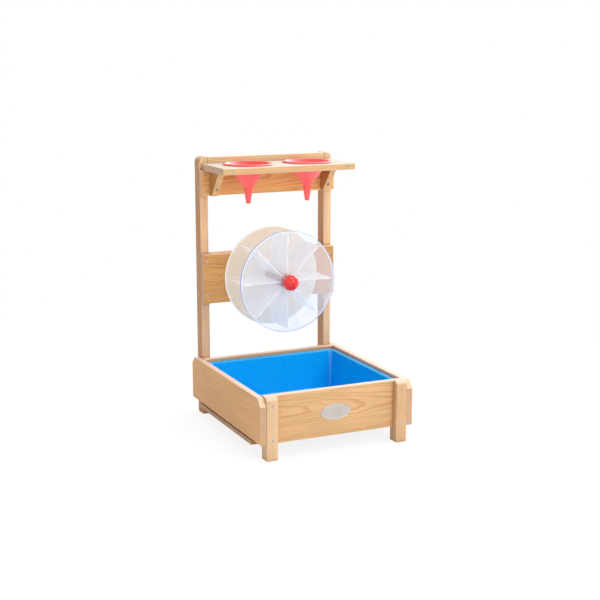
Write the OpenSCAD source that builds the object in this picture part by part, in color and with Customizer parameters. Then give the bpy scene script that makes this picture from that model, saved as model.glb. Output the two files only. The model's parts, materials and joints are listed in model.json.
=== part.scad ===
/* [Frame] */
// Width over the two side boards
frame_w = 440; // [420:1:470]
// Length of the side boards, front to back
frame_d = 500; // [490:1:530]
// Height of the uprights above the floor
upright_h = 735; // [715:1:780]
// Thickness of every board
board_t = 17.5; // [16:0.5:19]
// Rounding along the long edges of the boards
edge_r = 2.5; // [0.5:0.1:3]
// Play between a board's ends and the pieces it fits between
board_gap = 0.3; // [0.1:0.1:0.6]
// How far the legs and uprights stand past the side boards' ends
leg_proud = 1; // [0.5:0.5:3]

/* [Sand box] */
// Height of the side boards' lower edge above the floor
side_z = 44; // [42:1:50]
// Width of the side boards, upright on their long edge
side_h = 121; // [115:1:130]
// Chamfer at the upper corners of the side boards
side_chamfer = 21; // [15:1:25]
// Height of the front and rear boards' lower edge
end_board_z = 39; // [38:1:41]
// Width of the front board
front_board_h = 128; // [124:1:135]
// Width of the rear board
rear_board_h = 126; // [120:1:130]
// Width of a front leg, across the box
leg_w = 31; // [28:1:34]
// Depth of a front leg's foot
leg_d = 36; // [34:1:40]
// Depth of the leg in front of the front board
leg_face_d = 18; // [17:1:19]
// Rounding of the leg's upper front edge
leg_round = 12; // [8:1:15]
// Thickness of the floor slats
slat_t = 11.5; // [10:0.5:12]
// Number of floor slats
slat_count = 4; // [4:1:4]
// Gap between neighbouring slats
slat_gap = 2; // [1:0.5:4]
// Open gap between a side board and the slats below it
slat_drop = 4.5; // [3:0.5:5]
// How far the slats stop short of the side boards' outer faces
slat_inset = 1; // [0.5:0.5:3]
// Distance from the side boards' front ends to the first slat
slat_front = 63; // [60:1:70]
// Width of the cleat that carries the slats
cleat_w = 12; // [10:1:12]
// Height of the cleat
cleat_h = 20; // [16:1:24]

/* [Tub] */
// Gap between the tub's rim and the boards round it
tub_gap = 2.5; // [2:0.5:4]
// How far the tub's rim lies below the side boards' upper edge
tub_drop = 8; // [6:1:12]
// Wall thickness of the tub
tub_wall = 2.5; // [2:0.5:3]
// Width of the tub's rim, outside the wall
tub_rim_w = 7; // [6:1:9]
// Height of the lip turned down at the rim's outer edge
tub_lip_h = 8; // [5:1:10]
// Radius of the tub's upright corners
tub_corner_r = 9; // [8:1:14]
// Radius between the tub's wall and floor
tub_floor_r = 7; // [4:1:8]
// How much each wall leans in towards the floor
tub_taper = 5; // [4:1:6]

/* [Back frame] */
// Width of an upright, across the box
upright_w = 24; // [20:0.5:26]
// Depth of an upright
upright_d = 40; // [38:1:44]
// Rounding of the upright's upper outer corner
upright_round = 16; // [10:1:18]
// Width of the board and rail that carry the wheel
wheel_board_h = 140; // [130:1:150]
// Gap between the uprights' front faces and the wheel rail
wheel_rail_back = 14; // [10:1:15]

/* [Shelf] */
// Distance from the uprights' tops down to the shelf's upper face
shelf_drop = 18; // [12:1:30]
// How far the shelf's ends stop short of the uprights' outer faces
shelf_inset = 6.5; // [0:0.5:8]
// Distance from the funnels' rims to the shelf's front edge
shelf_front = 18.5; // [12:0.5:30]
// Width of the apron board below the shelf
apron_h = 70.5; // [66:0.5:74]
// Depth of a bracket along the shelf
bracket_top_d = 69; // [60:1:75]
// Depth of a bracket at its lower end
bracket_low_d = 13.5; // [12:0.5:18]

/* [Funnels] */
// Where a funnel stands between the frame's centre and a bracket
funnel_place_share = 0.46; // [0.3:0.01:0.7]
// Gap between the funnels' rims and the top rail
funnel_back_gap = 7.5; // [5:0.5:12]
// Width of the flat rim that rests on the shelf
funnel_rim_w = 7; // [5:0.5:9]
// Thickness of the rim
funnel_rim_t = 4.5; // [2.5:0.5:6]
// Outer radius of the cone where it enters the shelf
funnel_mouth_r = 62.5; // [60:0.5:64]
// Outer radius of the neck between cone and spout
funnel_neck_r = 12.4; // [11:0.1:14]
// Outer radius of the spout's tip
funnel_tip_r = 6.3; // [5.5:0.1:8]
// Height of the cone below the shelf's upper face
funnel_cone_h = 63; // [58:1:70]
// Height of the spout
funnel_spout_h = 44; // [38:1:50]
// Wall thickness of a funnel
funnel_wall = 1.8; // [1.5:0.1:2.2]
// Radial gap between the cone and its hole in the shelf
funnel_gap = 1; // [0.5:0.1:1.5]

/* [Wheel] */
// Share of the room between sand box and funnels that is left below the wheel
wheel_place_share = 0.545; // [0.4:0.005:0.7]
// Radius of the axle
axle_r = 4; // [3.5:0.1:4.5]
// Radial running clearance between the axle and the bushes
axle_play = 0.08; // [0.03:0.01:0.09]
// Radius of the two discs
disc_r = 142; // [138:1:146]
// Thickness of a disc
disc_t = 3; // [3:0.5:4]
// Distance over the two discs' outer faces
wheel_w = 118; // [110:1:124]
// Number of paddles
paddle_count = 8; // [8:1:8]
// Thickness of a paddle
paddle_t = 3; // [2.5:0.5:3.5]
// Distance from a paddle's outer edge to the discs' rim
paddle_inset = 7.5; // [5:0.5:12]
// Distance from a paddle's outer edge to the middle of its tab
tab_inset = 16.5; // [12:0.5:24]
// Width of a paddle's tab
tab_w = 16; // [12:1:18]
// Radius of the hub
hub_r = 20; // [19:1:22]
// Depth of the slots in the hub
slot_depth = 6; // [5:0.5:6.5]
// Play on each side of a paddle in its slots
slot_play = 0.1; // [0.05:0.05:0.2]
// Outer radius of a bush
bush_r = 6; // [5.8:0.1:6.2]
// Width of a bush's flange
bush_flange_w = 3; // [2.5:0.1:3.5]
// Thickness of a bush's flange
bush_flange_t = 1.5; // [1:0.1:1.6]
// Length of a bush below its flange
bush_l = 20; // [16:1:24]
// Radial gap of the pieces that are pressed together
press_gap = 0.02; // [0.01:0.01:0.03]
// Radius of the ball knob
knob_r = 22; // [20.5:0.5:23]
// Distance from the ball's centre to its flat back
knob_flat = 16.2; // [15:0.1:17]
// Depth of the axle's seat in the knob
knob_seat = 20; // [16:1:22]
// Radius of the small dimple in the front of the knob
dimple_r = 1.3; // [1:0.1:1.8]
// End play of the wheel along its axle, at each side
end_play = 0.3; // [0.2:0.1:0.5]
// Width across the flats of the axle nuts
nut_flats = 13; // [12.5:0.1:13.5]
// Thickness of an axle nut
nut_t = 6; // [5.5:0.1:6]
// Radius of an axle washer
washer_r = 8.5; // [8:0.1:9]
// Thickness of an axle washer
washer_t = 1.6; // [1.2:0.1:1.6]

/* [Plate] */
// Length of the oval plate on the front board
plate_w = 87; // [80:1:95]
// Height of the oval plate
plate_h = 44; // [38:1:50]
// Thickness of the oval plate
plate_t = 1; // [0.8:0.1:1.2]

/* [Screws] */
// Shank radius of a wood screw
screw_r = 2; // [1.8:0.1:2.1]
// Head radius of a wood screw
screw_head_r = 4; // [3.8:0.1:4.2]
// Height of the countersunk head
screw_head_h = 2.4; // [2.2:0.1:2.6]
// How far a head lies below the wood's surface
screw_sink = 0.3; // [0.1:0.1:0.5]
// Radial gap between a screw and its hole
screw_gap = 0.1; // [0.05:0.05:0.15]
// Length of the cone at a screw's tip
screw_tip = 4; // [3:0.5:5]
// Radius of a screw's point
screw_point_r = 0.4; // [0.3:0.1:0.5]
// Length of one arm's slot in the cross recess
recess_l = 4.4; // [4:0.1:4.8]
// Width of the cross recess
recess_w = 1; // [0.8:0.1:1.2]
// Depth of the cross recess
recess_d = 1.4; // [1.2:0.1:1.6]
// Shank radius of a small screw in the wheel's hub
hub_screw_r = 1.5; // [1.3:0.1:1.6]
// Head radius of a hub screw
hub_head_r = 2.8; // [2.6:0.1:3]
// Head height of a hub screw
hub_head_h = 1.6; // [1.4:0.1:1.8]
// How far a hub screw reaches into the hub
hub_grip = 13; // [10:1:16]
// How far a screw reaches into a board's end grain
end_grip = 28; // [20:1:32]

/* [Hidden] */
$fn = 64;
// Overshoot of a cut past the face it starts from
cut = 1;
// Thickness of a slice used to build the tub's body
slice_t = 0.05;
HULL_FN = 32;

frame_x = frame_w / 2;
inner_x = frame_x - board_t;
half_d = frame_d / 2 + leg_proud;
side_y = frame_d / 2;
side_top = side_z + side_h;

leg_x = inner_x - leg_w;
leg_cx = inner_x - leg_w / 2;
front_board_y = -half_d + leg_face_d;
front_board_top = end_board_z + front_board_h;
leg_screw_zs = [end_board_z + front_board_h * 0.11, end_board_z + front_board_h * 0.83];

upright_y = half_d - upright_d;
upright_x = inner_x - upright_w;
upright_cx = inner_x - upright_w / 2;
face_y = upright_y - board_t;
wheel_rail_y = upright_y + wheel_rail_back;

slat_z = side_z - slat_drop - slat_t;
slat_y0 = -side_y + slat_front;
slat_y1 = face_y;
slat_d = (slat_y1 - slat_y0 - (slat_count - 1) * slat_gap) / slat_count;
cleat_z = slat_z + slat_t;
cleat_y0 = -half_d + leg_d + tub_gap;
cleat_l = face_y - tub_gap - cleat_y0;
cleat_cx = inner_x - cleat_w / 2;

tub_x = inner_x - tub_gap;
tub_y0 = front_board_y + board_t + tub_gap;
tub_y1 = face_y - tub_gap;
tub_cy = (tub_y0 + tub_y1) / 2;
tub_w = 2 * tub_x;
tub_d = tub_y1 - tub_y0;
tub_top = side_top - tub_drop;
tub_z = cleat_z;

shelf_z = upright_h - shelf_drop;
shelf_low = shelf_z - board_t;
shelf_w = 2 * (inner_x - shelf_inset);
funnel_rim_r = funnel_mouth_r + funnel_rim_w;
shelf_d = funnel_back_gap + 2 * funnel_rim_r + shelf_front;
shelf_y = upright_y - shelf_d;
apron_z = shelf_low - apron_h;
top_rail_h = upright_h - apron_z;
apron_screw_zs = [apron_z + apron_h * 0.18, apron_z + apron_h * 0.83];
// The rail's screws pass above the apron's, clear of their shanks
top_rail_screw_zs = [
    apron_screw_zs[0] + 3 * screw_r,
    apron_screw_zs[1] + (upright_h - apron_screw_zs[1]) * 0.39
];
bracket_x = upright_x - board_t;
bracket_cx = upright_x - board_t / 2;
// Nearest and farthest place of a funnel: rims touching, or cone at the bracket
funnel_low_r = funnel_mouth_r - (funnel_mouth_r - funnel_neck_r) * board_t / funnel_cone_h;
funnel_room = bracket_x - funnel_low_r - funnel_rim_r;
funnel_x = funnel_rim_r + funnel_room * funnel_place_share;
funnel_y = upright_y - funnel_back_gap - funnel_rim_r;
funnel_tip_z = shelf_z - funnel_cone_h - funnel_spout_h;

axle_z = side_top + disc_r + (funnel_tip_z - side_top - 2 * disc_r) * wheel_place_share;
wheel_board_z = axle_z - wheel_board_h / 2;
paddle_r = disc_r - paddle_inset;
tab_r = paddle_r - tab_inset;
bush_flange_r = bush_r + bush_flange_w;
hub_screw_circle = (bush_r + hub_r) / 2;
disc_back_y = face_y - washer_t - nut_t - end_play - bush_flange_t;
disc_front_y = disc_back_y - wheel_w;
hub_y = disc_front_y + disc_t;
hub_l = wheel_w - 2 * disc_t;
step = 360 / paddle_count;
knob_y = disc_front_y - bush_flange_t - end_play - knob_flat;
axle_y0 = knob_y + knob_flat - knob_seat;
rail_back_y = wheel_rail_y + board_t;
axle_y1 = rail_back_y + washer_t + nut_t + end_play;

// Screw lengths, from the pieces they pass through and hold
leg_screw_l = leg_face_d + board_t * 0.45;
side_screw_l = board_t + upright_w * 0.85;
rail_screw_l = upright_w + end_grip;
face_screw_l = board_t + upright_d * 0.5;
shelf_screw_l = board_t + apron_h * 0.32;
shelf_edge_screw_l = board_t * 0.7 + end_grip;
bracket_screw_y = face_y - bracket_low_d * 1.7;
bracket_screw_l = face_y - bracket_screw_y + board_t * 0.75;
slat_screw_l = slat_t + cleat_h * 0.7;
cleat_screw_l = cleat_w + board_t * 0.75;
hub_screw_l = disc_t + hub_grip;

// Colours
PINE = "#dcae78";
PINE_SHADE = "#c39660";
STEEL = "#b8babd";
BLUE = "#0196f2";
CORAL = "#f96a64";

// Board stock

// Rectangle with rounded corners, its lower left corner at the origin
module rounded_rect(w, h, r) {
    translate([r, 0]) square([w - 2 * r, h]);
    translate([0, r]) square([w, h - 2 * r]);
    for (x = [r, w - r], y = [r, h - r]) translate([x, y]) circle(r);
}

// Rectangle with rounded corners, centred on the origin
module rounded_panel(w, h, r) {
    translate([-w / 2, -h / 2]) rounded_rect(w, h, r);
}

// Board whose long edges run across the frame
module board_x(l, d, h) {
    rotate([90, 0, 90]) linear_extrude(l) rounded_rect(d, h, edge_r);
}

// Board whose long edges run front to back
module board_y(w, l, h) {
    translate([0, l, 0]) rotate([90, 0, 0]) linear_extrude(l) rounded_rect(w, h, edge_r);
}

// Post whose long edges stand upright
module board_z(w, d, h) {
    linear_extrude(h) rounded_rect(w, d, edge_r);
}

// Board across the frame, centred, between plus and minus half its length
module cross_board(half_l, y, z, h) {
    translate([-half_l, y, z]) board_x(2 * half_l, board_t, h);
}

// Shape drawn on the right, and again on the left
module both_sides() {
    children();
    mirror([1, 0, 0]) children();
}

// Waste left outside a quarter round, its round centred on the origin
module corner_waste(r) {
    difference() {
        square(r + cut);
        circle(r);
    }
}

// Screws

// Countersunk screw, its head's top face at the origin and its shank pointing down
module screw(l, r, head_r, head_h) {
    difference() {
        union() {
            translate([0, 0, -head_h]) cylinder(h = head_h, r1 = r, r2 = head_r);
            translate([0, 0, screw_tip - l]) cylinder(h = l - screw_tip - head_h, r = r);
            translate([0, 0, -l]) cylinder(h = screw_tip, r1 = screw_point_r, r2 = r);
        }
        for (turn = [0, 90]) rotate(turn)
            translate([-recess_l / 2, -recess_w / 2, -recess_d])
                cube([recess_l, recess_w, recess_d + cut]);
    }
}

// Hole for the same screw, open towards its head
module screw_hole(l, r, head_r, head_h) {
    translate([0, 0, -head_h]) cylinder(h = head_h, r1 = r + screw_gap, r2 = head_r + screw_gap);
    cylinder(h = screw_sink + cut, r = head_r + screw_gap);
    translate([0, 0, -l - screw_gap]) cylinder(h = l, r = r + screw_gap);
}

// Wood screw set just below the surface it is driven into
module wood_screw(l) {
    translate([0, 0, -screw_sink]) screw(l, screw_r, screw_head_r, screw_head_h);
}

module wood_screw_hole(l) {
    translate([0, 0, -screw_sink]) screw_hole(l, screw_r, screw_head_r, screw_head_h);
}

// Small screw through a disc into the hub
module hub_screw() {
    screw(hub_screw_l, hub_screw_r, hub_head_r, hub_head_h);
}

module hub_screw_hole() {
    screw_hole(hub_screw_l, hub_screw_r, hub_head_r, hub_head_h);
}

// Screw places, each with the surface at the origin and the way out along +Z

module leg_screw_places() {
    for (z = leg_screw_zs)
        both_sides() translate([leg_cx, -half_d, z]) rotate([90, 0, 0]) children();
}

module side_screw_places() {
    rear_y = upright_y + upright_d * 0.2;
    front_y = front_board_y + board_t * 0.66;
    for (y = [front_y, rear_y], share = [0.18, 0.85])
        both_sides() translate([frame_x, y, side_z + side_h * share]) rotate([0, 90, 0]) children();
}

module rail_screw_places() {
    top_y = upright_y + board_t / 2;
    for (z = top_rail_screw_zs)
        both_sides() translate([inner_x, top_y, z]) rotate([0, 90, 0]) children();
    wheel_y = wheel_rail_y + board_t / 2;
    for (share = [0.128, 0.926])
        both_sides() translate([inner_x, wheel_y, wheel_board_z + wheel_board_h * share])
            rotate([0, 90, 0]) children();
}

module face_screw_places(zs) {
    for (z = zs) both_sides() translate([upright_cx, face_y, z]) rotate([90, 0, 0]) children();
}

module apron_screw_places() {
    face_screw_places(apron_screw_zs) children();
}

module wheel_board_screw_places() {
    face_screw_places([for (share = [0.173, 0.851]) wheel_board_z + wheel_board_h * share])
        children();
}

module rear_board_screw_places() {
    face_screw_places([for (share = [0.13, 0.74]) end_board_z + rear_board_h * share]) children();
}

module shelf_screw_places() {
    rear_y = face_y + board_t / 2;
    front_y = face_y - bracket_top_d * 0.4;
    for (y = [front_y, rear_y])
        both_sides() translate([bracket_cx, y, shelf_z]) children();
}

module shelf_edge_screw_places() {
    both_sides() translate([bracket_cx, shelf_y, shelf_low + board_t / 2])
        rotate([90, 0, 0]) children();
}

// The head lies in a counterbore in the bracket's sloping face
module bracket_screw_places() {
    both_sides() translate([bracket_cx, bracket_screw_y, apron_z + apron_h * 0.27])
        rotate([90, 0, 0]) children();
}

function slat_place(i) = slat_y0 + i * (slat_d + slat_gap);

module slat_screw_places(i) {
    both_sides() translate([cleat_cx, slat_place(i) + slat_d / 2, slat_z])
        rotate([180, 0, 0]) children();
}

module cleat_screw_places() {
    for (share = [0.08, 0.5, 0.92])
        both_sides()
            translate([inner_x - cleat_w, cleat_y0 + cleat_l * share, cleat_z + cleat_h * 0.62])
                rotate([0, -90, 0]) children();
}

// Sand box

module side_board() {
    outline = [
        [-side_y, side_z], [side_y, side_z],
        [side_y, side_top - side_chamfer], [side_y - side_chamfer, side_top],
        [-side_y + side_chamfer, side_top], [-side_y, side_top - side_chamfer]
    ];
    color(PINE_SHADE) difference() {
        intersection() {
            translate([inner_x, 0, 0]) rotate([90, 0, 90]) linear_extrude(board_t) polygon(outline);
            translate([inner_x, -side_y, side_z]) board_y(board_t, frame_d, side_h);
            translate([inner_x, -side_y, side_z]) board_z(board_t, frame_d, side_h);
        }
        side_screw_places() wood_screw_hole(side_screw_l);
        cleat_screw_places() wood_screw_hole(cleat_screw_l);
    }
}

module side_board_right() {
    side_board();
}

module side_board_left() {
    mirror([1, 0, 0]) side_board();
}

module front_board() {
    color(PINE) difference() {
        cross_board(inner_x - board_gap, front_board_y, end_board_z, front_board_h);
        leg_screw_places() wood_screw_hole(leg_screw_l);
        side_screw_places() wood_screw_hole(side_screw_l);
    }
}

module rear_board() {
    color(PINE) difference() {
        cross_board(inner_x - board_gap, face_y, end_board_z, rear_board_h);
        rear_board_screw_places() wood_screw_hole(face_screw_l);
    }
}

// The leg is cut back behind the front board, so the board sits on its shoulder
module front_leg() {
    color(PINE) difference() {
        translate([leg_x, -half_d, 0]) board_z(leg_w, leg_d, front_board_top);
        translate([leg_x - cut, front_board_y, end_board_z])
            cube([leg_w + 2 * cut, leg_d, front_board_h + cut]);
        translate([leg_x - cut, -half_d + leg_round, front_board_top - leg_round])
            rotate([90, 0, 90]) linear_extrude(leg_w + 2 * cut)
                mirror([1, 0]) corner_waste(leg_round);
        leg_screw_places() wood_screw_hole(leg_screw_l);
        side_screw_places() wood_screw_hole(side_screw_l);
    }
}

module front_leg_right() {
    front_leg();
}

module front_leg_left() {
    mirror([1, 0, 0]) front_leg();
}

module cleat() {
    color(PINE_SHADE) difference() {
        translate([inner_x - cleat_w, cleat_y0, cleat_z]) board_y(cleat_w, cleat_l, cleat_h);
        for (i = [0:slat_count - 1]) slat_screw_places(i) wood_screw_hole(slat_screw_l);
        cleat_screw_places() wood_screw_hole(cleat_screw_l);
    }
}

module cleat_right() {
    cleat();
}

module cleat_left() {
    mirror([1, 0, 0]) cleat();
}

module slat(i) {
    half_w = frame_x - slat_inset;
    color(PINE) difference() {
        translate([-half_w, slat_place(i), slat_z]) board_x(2 * half_w, slat_d, slat_t);
        slat_screw_places(i) wood_screw_hole(slat_screw_l);
    }
}

module slat_1() { slat(0); }
module slat_2() { slat(1); }
module slat_3() { slat(2); }
module slat_4() { slat(3); }

// Oval plate, with no marking
module front_plate() {
    turns = [0:6:354];
    outline = [for (a = turns) [plate_w / 2 * cos(a), plate_h / 2 * sin(a)]];
    color(STEEL) translate([0, front_board_y, end_board_z + front_board_h / 2])
        rotate([90, 0, 0]) linear_extrude(plate_t) polygon(outline);
}

// Tub

// One thin slice of the tub's body, a distance inside the wall's outer face
module tub_slice(inset, z) {
    w = tub_w - 2 * (tub_rim_w + inset);
    d = tub_d - 2 * (tub_rim_w + inset);
    translate([0, tub_cy, z]) linear_extrude(slice_t)
        rounded_panel(w, d, tub_corner_r - inset / 2, $fn = HULL_FN);
}

// Solid body of the tub, shrunk all round by the given amount
module tub_body(shrink, top) {
    floor_z = tub_z + shrink;
    hull() {
        tub_slice(shrink, top);
        for (a = [0:30:90])
            tub_slice(shrink + tub_taper + tub_floor_r * (1 - cos(a)),
                floor_z + tub_floor_r * (1 - sin(a)));
    }
}

module tub() {
    rim_z = tub_top - tub_wall;
    outer_r = tub_corner_r + tub_rim_w;
    color(BLUE) difference() {
        union() {
            tub_body(0, rim_z);
            translate([0, tub_cy, rim_z]) linear_extrude(tub_wall)
                rounded_panel(tub_w, tub_d, outer_r);
            translate([0, tub_cy, tub_top - tub_lip_h]) linear_extrude(tub_lip_h) difference() {
                rounded_panel(tub_w, tub_d, outer_r);
                rounded_panel(tub_w - 2 * tub_wall, tub_d - 2 * tub_wall, outer_r - tub_wall);
            }
        }
        tub_body(tub_wall, tub_top + cut);
    }
}

// Back frame

module upright() {
    color(PINE) difference() {
        translate([upright_x, upright_y, 0]) board_z(upright_w, upright_d, upright_h);
        translate([inner_x - upright_round, half_d + cut, upright_h - upright_round])
            rotate([90, 0, 0]) linear_extrude(upright_d + 2 * cut) corner_waste(upright_round);
        side_screw_places() wood_screw_hole(side_screw_l);
        rail_screw_places() wood_screw_hole(rail_screw_l);
        apron_screw_places() wood_screw_hole(face_screw_l);
        wheel_board_screw_places() wood_screw_hole(face_screw_l);
        rear_board_screw_places() wood_screw_hole(face_screw_l);
    }
}

module upright_right() {
    upright();
}

module upright_left() {
    mirror([1, 0, 0]) upright();
}

module top_rail() {
    color(PINE) difference() {
        cross_board(upright_x - board_gap, upright_y, apron_z, top_rail_h);
        rail_screw_places() wood_screw_hole(rail_screw_l);
    }
}

// Hole for the axle through the wheel board and rail
module axle_hole() {
    translate([0, face_y - cut, axle_z]) rotate([-90, 0, 0])
        cylinder(h = half_d - face_y + 2 * cut, r = axle_r + screw_gap);
}

module wheel_rail() {
    color(PINE_SHADE) difference() {
        cross_board(upright_x - board_gap, wheel_rail_y, wheel_board_z, wheel_board_h);
        rail_screw_places() wood_screw_hole(rail_screw_l);
        axle_hole();
    }
}

module wheel_board() {
    color(PINE) difference() {
        cross_board(inner_x, face_y, wheel_board_z, wheel_board_h);
        wheel_board_screw_places() wood_screw_hole(face_screw_l);
        axle_hole();
    }
}

module apron_board() {
    color(PINE) difference() {
        cross_board(inner_x, face_y, apron_z, apron_h);
        apron_screw_places() wood_screw_hole(face_screw_l);
        shelf_screw_places() wood_screw_hole(shelf_screw_l);
        bracket_screw_places() wood_screw_hole(bracket_screw_l);
    }
}

// Shelf

module shelf() {
    color(PINE) difference() {
        translate([-shelf_w / 2, shelf_y, shelf_low]) intersection() {
            board_x(shelf_w, shelf_d, board_t);
            board_z(shelf_w, shelf_d, board_t);
        }
        both_sides() translate([funnel_x, funnel_y, shelf_low - cut])
            cylinder(h = board_t + 2 * cut, r = funnel_mouth_r + funnel_gap);
        shelf_screw_places() wood_screw_hole(shelf_screw_l);
        shelf_edge_screw_places() wood_screw_hole(shelf_edge_screw_l);
    }
}

module bracket() {
    outline = [
        [face_y, apron_z], [face_y, shelf_low],
        [face_y - bracket_top_d, shelf_low], [face_y - bracket_low_d, apron_z]
    ];
    color(PINE) difference() {
        translate([bracket_x, 0, 0]) rotate([90, 0, 90]) linear_extrude(board_t) polygon(outline);
        bracket_screw_places() {
            wood_screw_hole(bracket_screw_l);
            cylinder(h = bracket_top_d, r = screw_head_r + screw_gap);
        }
        shelf_screw_places() wood_screw_hole(shelf_screw_l);
    }
}

module bracket_right() {
    bracket();
}

module bracket_left() {
    mirror([1, 0, 0]) bracket();
}

// Funnel with its rim's lower face at the origin
module funnel() {
    neck_z = -funnel_cone_h;
    tip_z = neck_z - funnel_spout_h;
    outline = [
        [funnel_rim_r, 0], [funnel_rim_r, funnel_rim_t],
        [funnel_mouth_r - funnel_wall, funnel_rim_t],
        [funnel_neck_r - funnel_wall, neck_z], [funnel_tip_r - funnel_wall, tip_z],
        [funnel_tip_r, tip_z], [funnel_neck_r, neck_z], [funnel_mouth_r, 0]
    ];
    color(CORAL) rotate_extrude() polygon(outline);
}

module funnel_right() {
    translate([funnel_x, funnel_y, shelf_z]) funnel();
}

module funnel_left() {
    translate([-funnel_x, funnel_y, shelf_z]) funnel();
}

// Wheel

// Shape on the wheel's axis, its own z pointing to the back from the given place
module on_axle(y) {
    translate([0, y, axle_z]) rotate([-90, 0, 0]) children();
}

module hub_screw_ring() {
    for (i = [0:3]) rotate(step / 2 + i * 90) translate([hub_screw_circle, 0, 0]) children();
}

// The four screws at each end of the hub, seen from their heads
module hub_screw_places() {
    on_axle(disc_front_y) mirror([0, 0, 1]) hub_screw_ring() children();
    on_axle(disc_back_y) hub_screw_ring() children();
}

// Slots that hold the paddles' tabs
module tab_slots() {
    slot_w = tab_w + 2 * slot_play;
    slot_t = paddle_t + 2 * slot_play;
    for (i = [0:paddle_count - 1]) rotate(i * step)
        translate([tab_r - slot_w / 2, -slot_t / 2, -cut]) cube([slot_w, slot_t, disc_t + 2 * cut]);
}

module wheel_disc(y) {
    difference() {
        on_axle(y) difference() {
            cylinder(h = disc_t, r = disc_r, $fn = 128);
            translate([0, 0, -cut]) cylinder(h = disc_t + 2 * cut, r = bush_r + press_gap);
            tab_slots();
        }
        hub_screw_places() hub_screw_hole();
    }
}

module front_disc() {
    color("#dfe6f0", 0.35) wheel_disc(disc_front_y);
}

module rear_disc() {
    color("#e8dccb", 0.6) wheel_disc(disc_back_y - disc_t);
}

// Paddle with a tab at each end, seated in the hub's slot
module paddle(i) {
    root_r = hub_r - slot_depth + slot_play;
    color("#ececee") on_axle(hub_y) rotate(i * step) {
        translate([root_r, -paddle_t / 2, slot_play])
            cube([paddle_r - root_r, paddle_t, hub_l - 2 * slot_play]);
        translate([tab_r - tab_w / 2, -paddle_t / 2, -disc_t])
            cube([tab_w, paddle_t, wheel_w]);
    }
}

module paddle_1() { paddle(0); }
module paddle_2() { paddle(1); }
module paddle_3() { paddle(2); }
module paddle_4() { paddle(3); }
module paddle_5() { paddle(4); }
module paddle_6() { paddle(5); }
module paddle_7() { paddle(6); }
module paddle_8() { paddle(7); }

module hub() {
    slot_t = paddle_t + 2 * slot_play;
    color(PINE_SHADE) difference() {
        on_axle(hub_y) difference() {
            cylinder(h = hub_l, r = hub_r);
            translate([0, 0, -cut]) cylinder(h = hub_l + 2 * cut, r = bush_r + press_gap);
            for (i = [0:paddle_count - 1]) rotate(i * step)
                translate([hub_r - slot_depth, -slot_t / 2, -cut])
                    cube([slot_depth + cut, slot_t, hub_l + 2 * cut]);
        }
        hub_screw_places() hub_screw_hole();
    }
}

// Flanged bush with the flange's outer face at the origin
module bush() {
    difference() {
        union() {
            cylinder(h = bush_flange_t, r = bush_flange_r);
            cylinder(h = bush_flange_t + bush_l, r = bush_r);
        }
        translate([0, 0, -cut])
            cylinder(h = bush_flange_t + bush_l + 2 * cut, r = axle_r + axle_play);
    }
}

module hub_bushes() {
    color("#e8e6dc") {
        on_axle(disc_front_y - bush_flange_t) bush();
        on_axle(disc_back_y + bush_flange_t) mirror([0, 0, 1]) bush();
    }
}

module hub_screws() {
    color(STEEL) hub_screw_places() hub_screw();
}

module axle() {
    color(STEEL) on_axle(axle_y0) cylinder(h = axle_y1 - axle_y0, r = axle_r);
}

module axle_nut() {
    difference() {
        cylinder(h = nut_t, r = nut_flats / 2 / cos(30), $fn = 6);
        translate([0, 0, -cut]) cylinder(h = nut_t + 2 * cut, r = axle_r + press_gap);
    }
}

// One nut locks the axle in front of the wheel board, one behind the rail
module axle_nuts() {
    color(STEEL) {
        on_axle(face_y - washer_t - nut_t) axle_nut();
        on_axle(rail_back_y + washer_t) axle_nut();
    }
}

module axle_washer() {
    difference() {
        cylinder(h = washer_t, r = washer_r);
        translate([0, 0, -cut]) cylinder(h = washer_t + 2 * cut, r = axle_r + screw_gap);
    }
}

module axle_washers() {
    color(STEEL) {
        on_axle(face_y - washer_t) axle_washer();
        on_axle(rail_back_y) axle_washer();
    }
}

module knob() {
    color("#f8403a") on_axle(knob_y) difference() {
        sphere(r = knob_r);
        translate([-knob_r, -knob_r, knob_flat]) cube(2 * knob_r);
        translate([0, 0, knob_flat - knob_seat - press_gap])
            cylinder(h = knob_seat + cut, r = axle_r + press_gap);
        translate([0, 0, -knob_r - cut]) cylinder(h = 2 * cut, r = dimple_r);
    }
}

// Screw groups

module leg_screws() {
    color(STEEL) leg_screw_places() wood_screw(leg_screw_l);
}

module side_board_screws() {
    color(STEEL) side_screw_places() wood_screw(side_screw_l);
}

module rail_screws() {
    color(STEEL) rail_screw_places() wood_screw(rail_screw_l);
}

module apron_screws() {
    color(STEEL) apron_screw_places() wood_screw(face_screw_l);
}

module wheel_board_screws() {
    color(STEEL) wheel_board_screw_places() wood_screw(face_screw_l);
}

module shelf_screws() {
    color(STEEL) shelf_screw_places() wood_screw(shelf_screw_l);
}

module shelf_edge_screws() {
    color(STEEL) shelf_edge_screw_places() wood_screw(shelf_edge_screw_l);
}

module bracket_screws() {
    color(STEEL) bracket_screw_places() wood_screw(bracket_screw_l);
}

module slat_screws() {
    color(STEEL) for (i = [0:slat_count - 1]) slat_screw_places(i) wood_screw(slat_screw_l);
}

module cleat_screws() {
    color(STEEL) cleat_screw_places() wood_screw(cleat_screw_l);
}

module rear_board_screws() {
    color(STEEL) rear_board_screw_places() wood_screw(face_screw_l);
}

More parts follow.
